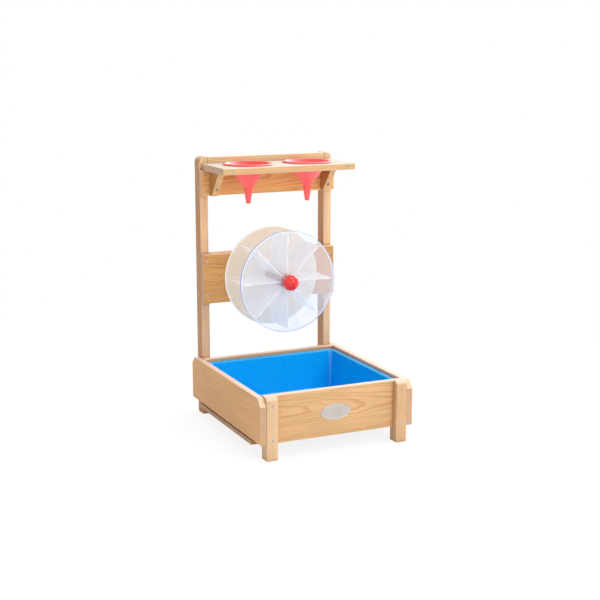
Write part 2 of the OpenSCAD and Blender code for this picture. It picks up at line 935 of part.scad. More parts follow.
side_board_left();
side_board_right();
front_board();
rear_board();
front_leg_left();
front_leg_right();
upright_left();
upright_right();
cleat_left();
cleat_right();
slat_1();
slat_2();
slat_3();
slat_4();
tub();
front_plate();
top_rail();
apron_board();
wheel_board();
wheel_rail();
shelf();
bracket_left();
bracket_right();
funnel_left();
funnel_right();
front_disc();
rear_disc();
paddle_1();
paddle_2();
paddle_3();
paddle_4();
paddle_5();
paddle_6();
paddle_7();
paddle_8();
hub();
hub_bushes();
hub_screws();
axle();
axle_nuts();
axle_washers();
knob();
leg_screws();
side_board_screws();
rail_screws();
apron_screws();
wheel_board_screws();
shelf_screws();
shelf_edge_screws();
bracket_screws();
slat_screws();
cleat_screws();
rear_board_screws();
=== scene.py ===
"""Looks of a wooden sand wheel toy: sand box with tub, back frame, funnels and paddle wheel."""

import functools
import json
import logging
import math
from collections.abc import Sequence
from dataclasses import dataclass, replace
from enum import Enum

import bmesh
import bpy
from mathutils import Color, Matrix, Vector

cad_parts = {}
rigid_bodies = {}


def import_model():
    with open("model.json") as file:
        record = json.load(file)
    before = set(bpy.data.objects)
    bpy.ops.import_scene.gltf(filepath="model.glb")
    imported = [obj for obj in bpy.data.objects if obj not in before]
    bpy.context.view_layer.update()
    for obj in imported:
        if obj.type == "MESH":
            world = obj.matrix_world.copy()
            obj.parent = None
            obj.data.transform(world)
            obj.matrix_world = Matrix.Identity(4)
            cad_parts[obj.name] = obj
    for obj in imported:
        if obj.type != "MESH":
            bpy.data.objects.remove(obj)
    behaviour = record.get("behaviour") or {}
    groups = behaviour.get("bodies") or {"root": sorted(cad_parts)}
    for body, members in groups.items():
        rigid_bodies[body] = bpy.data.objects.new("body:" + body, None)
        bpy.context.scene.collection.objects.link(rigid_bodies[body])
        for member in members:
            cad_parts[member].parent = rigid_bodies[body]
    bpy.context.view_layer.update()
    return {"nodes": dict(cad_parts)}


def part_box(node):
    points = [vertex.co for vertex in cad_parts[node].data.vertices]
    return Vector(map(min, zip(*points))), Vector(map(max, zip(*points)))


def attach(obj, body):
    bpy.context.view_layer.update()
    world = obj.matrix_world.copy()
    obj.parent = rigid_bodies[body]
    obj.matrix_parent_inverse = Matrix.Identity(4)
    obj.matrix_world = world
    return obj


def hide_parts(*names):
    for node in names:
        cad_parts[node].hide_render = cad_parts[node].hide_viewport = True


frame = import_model()

MM = 0.001
MERGE_DISTANCE = 1e-6
SHORTEST_EDGE = 1e-7
log = logging.getLogger("sand_wheel_toy")

Point = tuple[float, float, float]
Pair = tuple[float, float]
Ramp = tuple[float, ...]
Colour = tuple[int, int, int]
Inputs = dict[str | int, object]
Sockets = dict[str, tuple[str, object]]
Material = bpy.types.Material
Mesh = bpy.types.Mesh
Node = bpy.types.Node
Outputs = bpy.types.NodeOutputs
Socket = bpy.types.NodeSocket
Tree = bpy.types.NodeTree


def linear(colour: Colour) -> tuple[float, float, float, float]:
    """Turns a screen colour into the linear values that Blender's sockets take.

    Args:
        colour: Red, green and blue from 0 to 255.

    Returns:
        The linear colour, opaque.
    """
    red, green, blue = Color([part / 255 for part in colour]).from_srgb_to_scene_linear()
    return (red, green, blue, 1.0)


# Node trees


class Wiring:
    """Adds nodes to one tree and wires them."""

    def __init__(self, tree: Tree) -> None:
        """Keeps the tree that the nodes go into."""
        self.tree = tree

    def feed(self, node: Node, inputs: Inputs) -> None:
        """Fills a node's inputs.

        Args:
            node: The node.
            inputs: Input name or number against a value, or the socket that feeds it.
        """
        for key, value in inputs.items():
            if isinstance(value, Socket):
                self.tree.links.new(value, node.inputs[key])
            else:
                node.inputs[key].default_value = value

    def add(self, kind: str, inputs: Inputs | None = None, **settings: object) -> Node:
        """Adds one node.

        Args:
            kind: The node's type.
            inputs: What fills its inputs.
            settings: The node's own properties.

        Returns:
            The new node.
        """
        node = self.tree.nodes.new(kind)
        for name, value in settings.items():
            setattr(node, name, value)
        self.feed(node, inputs or {})
        return node

    def group(self, group: Tree, inputs: Inputs) -> Outputs:
        """Places a shared group and returns its outputs."""
        return self.add("ShaderNodeGroup", inputs, node_tree=group).outputs

    def math(self, operation: str, *values: object) -> Socket:
        """Adds a Math node and returns its result."""
        return self.add("ShaderNodeMath", dict(enumerate(values)), operation=operation).outputs[0]

    def times(self, *values: object) -> Socket:
        """Multiplies values in order."""
        return functools.reduce(functools.partial(self.math, "MULTIPLY"), values)

    def plus(self, *values: object) -> Socket:
        """Adds values in order."""
        return functools.reduce(functools.partial(self.math, "ADD"), values)

    def minus(self, first: object, second: object) -> Socket:
        """Takes the second value from the first."""
        return self.math("SUBTRACT", first, second)

    def highest(self, *values: object) -> Socket:
        """Returns the highest of the values."""
        return functools.reduce(functools.partial(self.math, "MAXIMUM"), values)

    def vector(self, operation: str, *values: object) -> Socket:
        """Adds a Vector Math node and returns its vector, or its value for a length or product."""
        node = self.add("ShaderNodeVectorMath", dict(enumerate(values)), operation=operation)
        return node.outputs[1 if operation in ("LENGTH", "DOT_PRODUCT", "DISTANCE") else 0]

    def scaled(self, vector: Socket, factor: object) -> Socket:
        """Multiplies a vector or colour by one factor."""
        inputs = {0: vector, "Scale": factor}
        return self.add("ShaderNodeVectorMath", inputs, operation="SCALE").outputs[0]

    def split(self, vector: Socket) -> list[Socket]:
        """Returns the three parts of a vector."""
        return list(self.add("ShaderNodeSeparateXYZ", {0: vector}).outputs)

    def join(self, *parts: object) -> Socket:
        """Returns a vector made from three values."""
        return self.add("ShaderNodeCombineXYZ", dict(enumerate(parts))).outputs[0]

    def ramp(self, value: object, low: object, high: object, to_low: object = 0.0,
             to_high: object = 1.0) -> Socket:
        """Maps a value smoothly from one range to another, held at both ends."""
        inputs = {0: value, 1: low, 2: high, 3: to_low, 4: to_high}
        return self.add("ShaderNodeMapRange", inputs, interpolation_type="SMOOTHSTEP").outputs[0]

    def noise(self, place: object, scale: object = 1.0, detail: float = 2.0,
              seed: object = 0.0, stretch: Point | None = None, output: str = "Fac") -> Socket:
        """Adds a noise.

        Args:
            place: Where the noise is read.
            scale: Features per unit of the place.
            detail: Octaves.
            seed: The fourth coordinate, which picks another pattern.
            stretch: Features per unit along each axis, in place of one scale for all.
            output: Fac for one value, or Color for three.

        Returns:
            The noise, around 0.5.
        """
        if stretch:
            place = self.vector("MULTIPLY", place, stretch)
        inputs = {"Vector": place, "Scale": scale, "Detail": detail, "W": seed}
        return self.add("ShaderNodeTexNoise", inputs, noise_dimensions="4D").outputs[output]

    def blend(self, share: object, first: object, second: object) -> Socket:
        """Mixes two colours."""
        inputs = {0: share, 6: first, 7: second}
        return self.add("ShaderNodeMix", inputs, data_type="RGBA").outputs[2]

    def mix(self, share: object, first: object, second: object) -> Socket:
        """Mixes two values."""
        return self.add("ShaderNodeMix", {0: share, 2: first, 3: second}).outputs[0]

    def bump(self, strength: float, distance: float, height: Socket,
             normal: Socket | None = None) -> Socket:
        """Adds a Bump node and returns its normal."""
        below = {} if normal is None else {"Normal": normal}
        return self.add("ShaderNodeBump", {"Strength": strength, "Distance": distance,
                                           "Height": height} | below).outputs[0]


def new_tree(kind: str, name: str, inputs: Sockets,
             outputs: dict[str, str]) -> tuple[Wiring, Outputs, Node]:
    """Starts a node group with named sockets.

    Args:
        kind: The tree's type.
        name: The group's name.
        inputs: Socket name against its type and default value.
        outputs: Socket name against its type.

    Returns:
        The group's wiring, the sockets that it is given and its output node.
    """
    tree = bpy.data.node_groups.new(name, kind)
    for label, (form, default) in inputs.items():
        socket = tree.interface.new_socket(label, in_out="INPUT", socket_type=f"NodeSocket{form}")
        if default is not None:
            socket.default_value = default
    for label, form in outputs.items():
        tree.interface.new_socket(label, in_out="OUTPUT", socket_type=f"NodeSocket{form}")
    w = Wiring(tree)
    return w, w.add("NodeGroupInput").outputs, w.add("NodeGroupOutput")


def emptied(owner: Material | bpy.types.World) -> Wiring:
    """Clears the node tree of a material or world.

    Args:
        owner: The material or world.

    Returns:
        The wiring of its empty tree.
    """
    owner.use_nodes = True
    owner.node_tree.nodes.clear()
    return Wiring(owner.node_tree)


class Effects:
    """The shader groups that the finishes share, each built once."""

    # What a skin puts out beside its colour or tone
    SKIN = {"Roughness": "Float", "Height": "Float"}

    # A noise's middle range, which is spread from 0 to 1
    MIDDLE: Ramp = (0.3, 0.7)

    # Softwood: features per metre along, across and through the board
    BEND = (3.2, 9.0, 9.0)
    RIPPLE = (14.0, 90.0, 90.0)
    FIBRE = (26.0, 850.0, 850.0)
    STREAK = (5.0, 120.0, 120.0)
    MOTTLE = (60.0, 34.0, 420.0)
    CLOUD = 7.0

    # Softwood: how far the pith line wanders, and how the years differ
    WANDER = 12 * MM
    SINK = 14 * MM
    DRIFT_ACROSS = 0.4
    RIPPLE_DEPTH = 0.9
    YEAR_RISE: Ramp = (0.42, 0.90)
    YEAR_FALL: Ramp = (0.92, 1.0, 1.0, 0.0)
    YEAR_STEP = 1.7
    YEAR_WEIGHT: Ramp = (0.3, 0.65, 0.25, 1.0)

    # Softwood: what each pattern adds to tone and gloss, and how sawn ends darken
    FIBRE_TONE: Ramp = (0.25, 0.75, -0.05, 0.05)
    STREAK_TONE: Ramp = (0.3, 0.7, -0.07, 0.06)
    CLOUD_TONE: Ramp = (0.3, 0.7, -0.05, 0.05)
    SAWN_FIBRE: Ramp = (0.3, 0.7, 0.84, 1.0)
    SAWN_MOTTLE: Ramp = (0.35, 0.62, 0.80, 1.06)
    LATE_GLOSS = -0.06
    FIBRE_GLOSS: Ramp = (0.2, 0.8, 0.40, 0.52)

    # Softened edges, with an edge mask for a painted highlight and an occlusion mask for painted
    # shade in crevices
    CREVICE_SHADE: Ramp = (0.85, 0.25)
    ARRIS: Ramp = (0.99, 0.80)
    EDGE_SAMPLES = 4

    # Moulded plastic: features per metre, and how handling marks change the gloss
    FLOW = 9.0
    ORANGE_PEEL = 900.0
    HANDLING = (60.0, 14.0, 60.0)
    RUBBED: Ramp = (0.45, 0.8, -0.03, 0.12)

    # Brushed metal: features per metre, and what they add to tone and gloss
    LINES = (40.0, 4000.0, 4000.0)
    METAL_CLOUD = 40.0
    LINE_TONE: Ramp = (0.3, 0.7, 0.0, 0.6)
    METAL_CLOUD_TONE: Ramp = (0.3, 0.7, 0.0, 0.4)
    LINE_GLOSS: Ramp = (0.3, 0.7, -0.06, 0.08)

    # Acrylic sheet: features of haze per metre, and where its edges begin
    HAZE = 14.0
    BLADE_END: Ramp = (0.4, 0.6)
    LIP_BLUR = 0.2 * MM
    RIM_BLUR = 0.5 * MM
    LIP_SHARE = 0.5

    def __init__(self) -> None:
        """Builds every group."""
        self.pine = self.make_pine()
        self.soft_edge = self.make_soft_edge()
        self.moulded = self.make_moulded()
        self.brushed = self.make_brushed()
        self.sheet_edge = self.make_sheet_edge()

    def make_pine(self) -> Tree:
        """Builds solid softwood: growth rings about a pith line, fibres and end grain.

        Returns:
            The group, which takes a place in the board with X along the grain.
        """
        w, get, made = new_tree("ShaderNodeTree", "pine_grain", {
            "Place": ("Vector", None), "End": ("Float", 0.0), "Seed": ("Float", 0.0),
            "Early": ("Color", None), "Late": ("Color", None), "Ring": ("Float", 5 * MM),
            "Pith Across": ("Float", 0.0), "Pith Depth": ("Float", 40 * MM),
            "Drift": ("Float", 0.04), "Contrast": ("Float", 0.6), "End Tone": ("Color", None),
            "End Share": ("Float", 0.4)}, {"Color": "Color"} | self.SKIN)
        place, seed = get["Place"], get["Seed"]
        x, y, z = w.split(place)
        bend = w.noise(place, seed=seed, stretch=self.BEND, output="Color")
        aside, down = w.split(bend)[1:]
        wander = w.times(w.minus(aside, 0.5), self.WANDER)
        sink = w.times(w.minus(down, 0.5), self.SINK)
        drift = w.times(x, get["Drift"])
        across = w.plus(w.minus(y, get["Pith Across"]),
                        w.plus(wander, w.times(drift, self.DRIFT_ACROSS)))
        depth = w.plus(w.plus(z, get["Pith Depth"]), w.plus(sink, drift))
        radius = w.vector("LENGTH", w.join(0.0, across, depth))
        ripple = w.noise(place, detail=3.0, seed=seed, stretch=self.RIPPLE)
        count = w.plus(w.math("DIVIDE", radius, get["Ring"]),
                       w.times(w.minus(ripple, 0.5), self.RIPPLE_DEPTH))
        year = w.math("FRACT", count)
        which = w.noise(w.join(w.math("FLOOR", count), 0.0, 0.0), self.YEAR_STEP, 1.0, seed)
        late = w.times(w.ramp(year, *self.YEAR_RISE), w.ramp(year, *self.YEAR_FALL),
                       w.ramp(which, *self.YEAR_WEIGHT))
        fibre = w.noise(place, seed=seed, stretch=self.FIBRE)
        streak = w.noise(place, seed=seed, stretch=self.STREAK)
        cloud = w.noise(place, self.CLOUD, 1.0, seed)
        mottle = w.noise(place, detail=3.0, seed=seed, stretch=self.MOTTLE)
        body = w.blend(w.times(late, get["Contrast"]), get["Early"], get["Late"])
        tone = w.plus(w.ramp(fibre, *self.FIBRE_TONE),
                      w.plus(w.ramp(streak, *self.STREAK_TONE), w.ramp(cloud, *self.CLOUD_TONE)))
        planed = w.scaled(body, w.plus(tone, 1.0))
        rough = w.times(w.ramp(fibre, *self.SAWN_FIBRE), w.ramp(mottle, *self.SAWN_MOTTLE))
        sawn = w.blend(get["End Share"], w.scaled(body, rough), get["End Tone"])
        w.feed(made, {
            "Color": w.blend(get["End"], planed, sawn),
            "Roughness": w.plus(w.times(late, self.LATE_GLOSS),
                                w.ramp(fibre, *self.FIBRE_GLOSS)),
            "Height": w.times(w.plus(late, fibre), 0.5)})
        return w.tree

    def make_soft_edge(self) -> Tree:
        """Builds softened arrises.

        Returns:
            The group, with a rounded normal, a mask of the edges for a painted highlight and a mask
            of tight corners, from ambient occlusion, for painted shade.
        """
        w, get, made = new_tree(
            "ShaderNodeTree", "soft_edge", {"Radius": ("Float", MM), "Reach": ("Float", 10 * MM)},
            {"Normal": "Vector", "Edge": "Float", "Crevice Shade": "Float"})
        shut = w.add("ShaderNodeAmbientOcclusion", {"Distance": get["Reach"]},
                     samples=self.EDGE_SAMPLES)
        bevel = w.add("ShaderNodeBevel", {"Radius": get["Radius"]}, samples=self.EDGE_SAMPLES)
        flat = w.add("ShaderNodeNewGeometry").outputs["Normal"]
        turned = w.vector("DOT_PRODUCT", bevel.outputs[0], flat)
        w.feed(made, {"Normal": bevel.outputs[0], "Edge": w.ramp(turned, *self.ARRIS),
                      "Crevice Shade": w.ramp(shut.outputs["AO"], *self.CREVICE_SHADE)})
        return w.tree

    def make_moulded(self) -> Tree:
        """Builds moulded plastic: faint flow clouds, orange peel and handling marks.

        Returns:
            The group, with a tone from 0 to 1, the roughness and the skin's height.
        """
        w, get, made = new_tree(
            "ShaderNodeTree", "moulded_skin",
            {"Place": ("Vector", None), "Gloss": ("Float", 0.3), "Rub": ("Float", 1.0)},
            {"Tone": "Float"} | self.SKIN)
        place = get["Place"]
        rub = w.noise(place, detail=4.0, stretch=self.HANDLING)
        rubbed = w.times(w.ramp(rub, *self.RUBBED), get["Rub"])
        w.feed(made, {"Tone": w.ramp(w.noise(place, self.FLOW), *self.MIDDLE),
                      "Roughness": w.plus(get["Gloss"], rubbed),
                      "Height": w.noise(place, self.ORANGE_PEEL)})
        return w.tree

    def make_brushed(self) -> Tree:
        """Builds brushed metal with fine lines along X.

        Returns:
            The group, with the lines' tone, roughness and height.
        """
        w, get, made = new_tree(
            "ShaderNodeTree", "brushed_lines",
            {"Place": ("Vector", None), "Gloss": ("Float", 0.35)}, {"Tone": "Float"} | self.SKIN)
        lines = w.noise(get["Place"], stretch=self.LINES)
        cloud = w.noise(get["Place"], self.METAL_CLOUD)
        w.feed(made, {"Tone": w.plus(w.ramp(lines, *self.LINE_TONE),
                                     w.ramp(cloud, *self.METAL_CLOUD_TONE)),
                      "Roughness": w.plus(get["Gloss"], w.ramp(lines, *self.LINE_GLOSS)),
                      "Height": lines})
        return w.tree

    def make_sheet_edge(self) -> Tree:
        """Builds the edges of an acrylic sheet on the wheel.

        Returns:
            The group, with masks of the band inside the rim, of the cut edges and of the haze.
        """
        w, get, made = new_tree(
            "ShaderNodeTree", "sheet_edge",
            {"Place": ("Vector", None), "Facing": ("Vector", None), "Radius": ("Float", 142 * MM),
             "Width": ("Float", MM), "Lip": ("Float", MM), "Blade": ("Float", 0.0)},
            {"Rim": "Float", "Cut": "Float", "Haze": "Float"})
        x, _, z = w.split(get["Place"])
        out = w.vector("LENGTH", w.join(x, 0.0, z))

        def beyond(inset: Socket, blur: float) -> Socket:
            """Masks what lies further out than a line inside the rim, with a blurred border."""
            line = w.minus(get["Radius"], inset)
            return w.ramp(out, w.minus(line, blur), w.plus(line, blur))

        along = w.ramp(w.math("ABSOLUTE", w.split(get["Facing"])[1]), *self.BLADE_END)
        outmost = beyond(get["Lip"], self.LIP_BLUR)
        side = w.times(outmost, w.minus(1.0, along))
        disc_cut = w.highest(side, w.times(outmost, self.LIP_SHARE))
        w.feed(made, {"Cut": w.mix(get["Blade"], disc_cut, along),
                      "Rim": beyond(get["Width"], self.RIM_BLUR),
                      "Haze": w.ramp(w.noise(get["Place"], self.HAZE, 3.0), *self.MIDDLE)})
        return w.tree


# Blender objects


class Body(Enum):
    """The bodies that the pieces ride on."""

    ROOT = "root"
    WHEEL = "wheel"
    FUNNEL_LEFT = "funnel_left_body"
    FUNNEL_RIGHT = "funnel_right_body"
    TUB = "tub_body"


class Slot(Enum):
    """The record's material slots that the rebuilt pieces take."""

    BLUE = "blue"
    CORAL = "coral"
    PLATE = "plate"
    STEEL = "steel"


def make_object(name: str, data: bpy.types.ID) -> bpy.types.Object:
    """Puts a mesh, a camera or a light in the scene.

    Args:
        name: The object's name.
        data: What it holds.

    Returns:
        The object.
    """
    piece = bpy.data.objects.new(name, data)
    bpy.context.collection.objects.link(piece)
    return piece


def seat(piece: bpy.types.Object, body: Body, node: str) -> str:
    """Ties a piece to its body, in place of its CAD node.

    Args:
        piece: The finished piece.
        body: The body that it moves with.
        node: The CAD node that it stands for.

    Returns:
        The piece's name.
    """
    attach(piece, body.value)
    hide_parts(node)
    return piece.name


def dress(node: str, material: Material) -> str:
    """Gives every material slot of a CAD node the same finish.

    Args:
        node: The CAD node.
        material: The finish.

    Returns:
        The node's name.
    """
    for slot in bpy.data.objects[node].material_slots:
        slot.material = material
    return node


def point_outwards(mesh: Mesh) -> None:
    """Merges doubled points and turns every face of closed shells outwards.

    Args:
        mesh: The mesh of one or more closed shells.
    """
    shape = bmesh.new()
    shape.from_mesh(mesh)
    bmesh.ops.remove_doubles(shape, verts=shape.verts, dist=MERGE_DISTANCE)
    bmesh.ops.dissolve_degenerate(shape, edges=shape.edges, dist=SHORTEST_EDGE)
    bmesh.ops.recalc_face_normals(shape, faces=shape.faces)
    shape.to_mesh(mesh)
    shape.free()


def loft(rings: Sequence[Sequence[Point]], name: str) -> Mesh:
    """Joins rings of equal length into a closed shell that is capped at both ends.

    Args:
        rings: The rings in order, each a closed loop of points.
        name: The mesh's name.

    Returns:
        The smooth mesh.
    """
    shape = bmesh.new()
    rows = [[shape.verts.new(point) for point in ring] for ring in rings]
    count = len(rows[0])
    for low, high in zip(rows, rows[1:]):
        for i in range(count):
            j = (i + 1) % count
            shape.faces.new((low[i], low[j], high[j], high[i]))
    shape.faces.new(list(reversed(rows[0])))
    shape.faces.new(rows[-1])
    for face in shape.faces:
        face.smooth = True
    mesh = bpy.data.meshes.new(name)
    shape.to_mesh(mesh)
    shape.free()
    point_outwards(mesh)
    return mesh


def arc(centre: Pair, radius: float, start: float, end: float, steps: int) -> list[Pair]:
    """Lists points along an arc.

    Args:
        centre: The arc's centre.
        radius: Its radius.
        start: Its first angle in degrees.
        end: Its last angle in degrees.
        steps: The number of spans.

    Returns:
        The points, both ends included.
    """
    turns = [math.radians(start + (end - start) * i / steps) for i in range(steps + 1)]
    return [(centre[0] + radius * math.cos(a), centre[1] + radius * math.sin(a)) for a in turns]


# Geometry trees


def geometry_tree(name: str, inputs: Sockets) -> tuple[Wiring, Outputs, Node]:
    """Starts a geometry tree that takes a geometry and named sizes."""
    return new_tree("GeometryNodeTree", name, {"Geometry": ("Geometry", None)} | inputs,
                    {"Geometry": "Geometry"})


def end_tree(w: Wiring, made: Node, geometry: Socket, finish: Socket) -> Tree:
    """Ends a geometry tree in real geometry with its finish.

    Args:
        w: The tree's wiring.
        made: Its output node.
        geometry: What it has built.
        finish: The material.

    Returns:
        The tree.
    """
    real = w.add("GeometryNodeRealizeInstances", {"Geometry": geometry}).outputs[0]
    dressed = w.add("GeometryNodeSetMaterial", {"Geometry": real, "Material": finish}).outputs[0]
    w.feed(made, {0: dressed})
    return w.tree


def grow(piece: bpy.types.Object, tree: Tree, values: dict[str, object]) -> None:
    """Runs a geometry tree on an object and leaves the result as its plain mesh.

    Args:
        piece: The object that holds the points or outline to start from.
        tree: The geometry tree.
        values: Input names against their values.
    """
    modifier = piece.modifiers.new("Form", "NODES")
    modifier.node_group = tree
    for item in tree.interface.items_tree:
        if item.item_type == "SOCKET" and item.in_out == "INPUT" and item.name in values:
            modifier[item.identifier] = values[item.name]
    graph = bpy.context.evaluated_depsgraph_get()
    made = bpy.data.meshes.new_from_object(piece.evaluated_get(graph), depsgraph=graph)
    piece.modifiers.remove(modifier)
    piece.data = made
    point_outwards(made)
    made.name = piece.name


def turned_form() -> Tree:
    """Builds the tree that turns a closed outline of radius and height about Z.

    Returns:
        The tree, with inputs Sides, Place and Finish.
    """
    w, get, made = geometry_tree("turned_form", {
        "Sides": ("Int", 96), "Place": ("Vector", None), "Finish": ("Material", None)})
    outline, sides = get["Geometry"], get["Sides"]
    count = w.add("GeometryNodeAttributeDomainSize", {"Geometry": outline}).outputs["Point Count"]
    rows = w.plus(count, 1.0)
    grid = w.add("GeometryNodeMeshGrid", {"Vertices X": w.plus(sides, 1.0), "Vertices Y": rows})
    index = w.add("GeometryNodeInputIndex").outputs[0]
    turn = w.math("FLOOR", w.math("DIVIDE", w.plus(index, 0.5), rows))
    row = w.math("FLOORED_MODULO", w.minus(index, w.times(turn, rows)), count)
    place = w.add("GeometryNodeInputPosition").outputs[0]
    sample = w.add("GeometryNodeSampleIndex", {"Geometry": outline, "Index": row,
                                               "Value": place}, data_type="FLOAT_VECTOR")
    radius, _, height = w.split(sample.outputs[0])
    angle = w.times(w.math("DIVIDE", turn, sides), 2 * math.pi)
    point = w.join(w.times(radius, w.math("COSINE", angle)),
                   w.times(radius, w.math("SINE", angle)), height)
    shaped = w.add("GeometryNodeSetPosition", {
        "Geometry": grid.outputs[0], "Position": w.vector("ADD", point, get["Place"])})
    joined = w.add("GeometryNodeMergeByDistance", {"Geometry": shaped.outputs[0],
                                                   "Distance": MERGE_DISTANCE})
    smooth = w.add("GeometryNodeSetShadeSmooth", {"Geometry": joined.outputs[0]})
    return end_tree(w, made, smooth.outputs[0], get["Finish"])


def screw_form() -> Tree:
    """Builds the tree that sets a countersunk cross-head screw at every point.

    Returns:
        The tree, which reads each point's way out from the attribute named out.
    """
    w, get, made = geometry_tree("screw_form", {
        "Head Radius": ("Float", 4 * MM), "Head Depth": ("Float", 2.5 * MM),
        "Shank Radius": ("Float", 2 * MM), "Length": ("Float", 40 * MM),
        "Tip": ("Float", 4 * MM), "Recess Length": ("Float", 4.4 * MM),
        "Recess Width": ("Float", 0.9 * MM), "Recess Depth": ("Float", 1.6 * MM),
        "Sides": ("Int", 32), "Crown Share": ("Float", 0.14), "Top Share": ("Float", 0.93),
        "Seed": ("Int", 3), "Finish": ("Material", None)})
    crown = w.times(get["Head Depth"], get["Crown Share"])
    top_radius = w.times(get["Head Radius"], get["Top Share"])

    def cone(low: object, high: object, depth: object, base: object) -> Socket:
        """Adds an open cone whose lower rim is at a height.

        Args:
            low: Its lower radius.
            high: Its upper radius.
            depth: Its height.
            base: The height of its lower rim.

        Returns:
            The cone's geometry.
        """
        node = w.add("GeometryNodeMeshCone", {
            "Vertices": get["Sides"], "Radius Bottom": low, "Radius Top": high,
            "Depth": depth}, fill_type="NONE")
        return w.add("GeometryNodeTransform", {
            "Geometry": node.outputs[0], "Translation": w.join(0.0, 0.0, base)}).outputs[0]

    tip_z = w.times(get["Length"], -1.0)
    shank_z = w.plus(tip_z, get["Tip"])
    head_z = w.times(get["Head Depth"], -1.0)
    crown_z = w.times(crown, -1.0)
    shank = get["Shank Radius"]
    joined = w.add("GeometryNodeJoinGeometry")
    for part in (cone(0.0, shank, get["Tip"], tip_z),
                 cone(shank, shank, w.minus(head_z, shank_z), shank_z),
                 cone(shank, get["Head Radius"], w.minus(crown_z, head_z), head_z),
                 cone(get["Head Radius"], top_radius, crown, crown_z),
                 w.add("GeometryNodeMeshCircle", {"Vertices": get["Sides"], "Radius": top_radius},
                       fill_type="NGON").outputs[0]):
        w.feed(joined, {0: part})
    body = w.add("GeometryNodeMergeByDistance", {"Geometry": joined.outputs[0],
                                                 "Distance": MERGE_DISTANCE}).outputs[0]
    cut = w.add("GeometryNodeMeshBoolean", {"Mesh 1": body}, operation="DIFFERENCE")
    long, wide, deep = get["Recess Length"], get["Recess Width"], w.times(get["Recess Depth"], 2.0)
    for size in ((long, wide, deep), (wide, long, deep)):
        bar = w.add("GeometryNodeMeshCube", {"Size": w.join(*size)}).outputs[0]
        w.feed(cut, {"Mesh 2": bar})
    out = w.add("GeometryNodeInputNamedAttribute", {"Name": "out"}, data_type="FLOAT_VECTOR")
    facing = w.add("FunctionNodeAlignRotationToVector", {"Vector": out.outputs[0]}, axis="Z")
    spread = w.add("GeometryNodeInstanceOnPoints", {
        "Points": get["Geometry"], "Instance": cut.outputs[0], "Rotation": facing.outputs[0]})
    turn = w.add("FunctionNodeRandomValue", {"Seed": get["Seed"], 2: 0.0, 3: math.pi / 2},
                 data_type="FLOAT")
    turned = w.add("GeometryNodeRotateInstances", {
        "Instances": spread.outputs[0], "Rotation": w.join(0.0, 0.0, turn.outputs[1])})
    return end_tree(w, made, turned.outputs[0], get["Finish"])


# Finishes


@dataclass(frozen=True)
class Finish:
    """What every finish has: a name, and a way to start its material."""

    name: str

    def start(self, label: str) -> tuple[Wiring, Node, Material]:
        """Makes an empty material with a Principled shader.

        Args:
            label: The material's name.

        Returns:
            The material's wiring, its shader and the material.
        """
        material = bpy.data.materials.new(label)
        w = emptied(material)
        shader = w.add("ShaderNodeBsdfPrincipled")
        w.add("ShaderNodeOutputMaterial", {"Surface": shader.outputs[0]})
        return w, shader, material


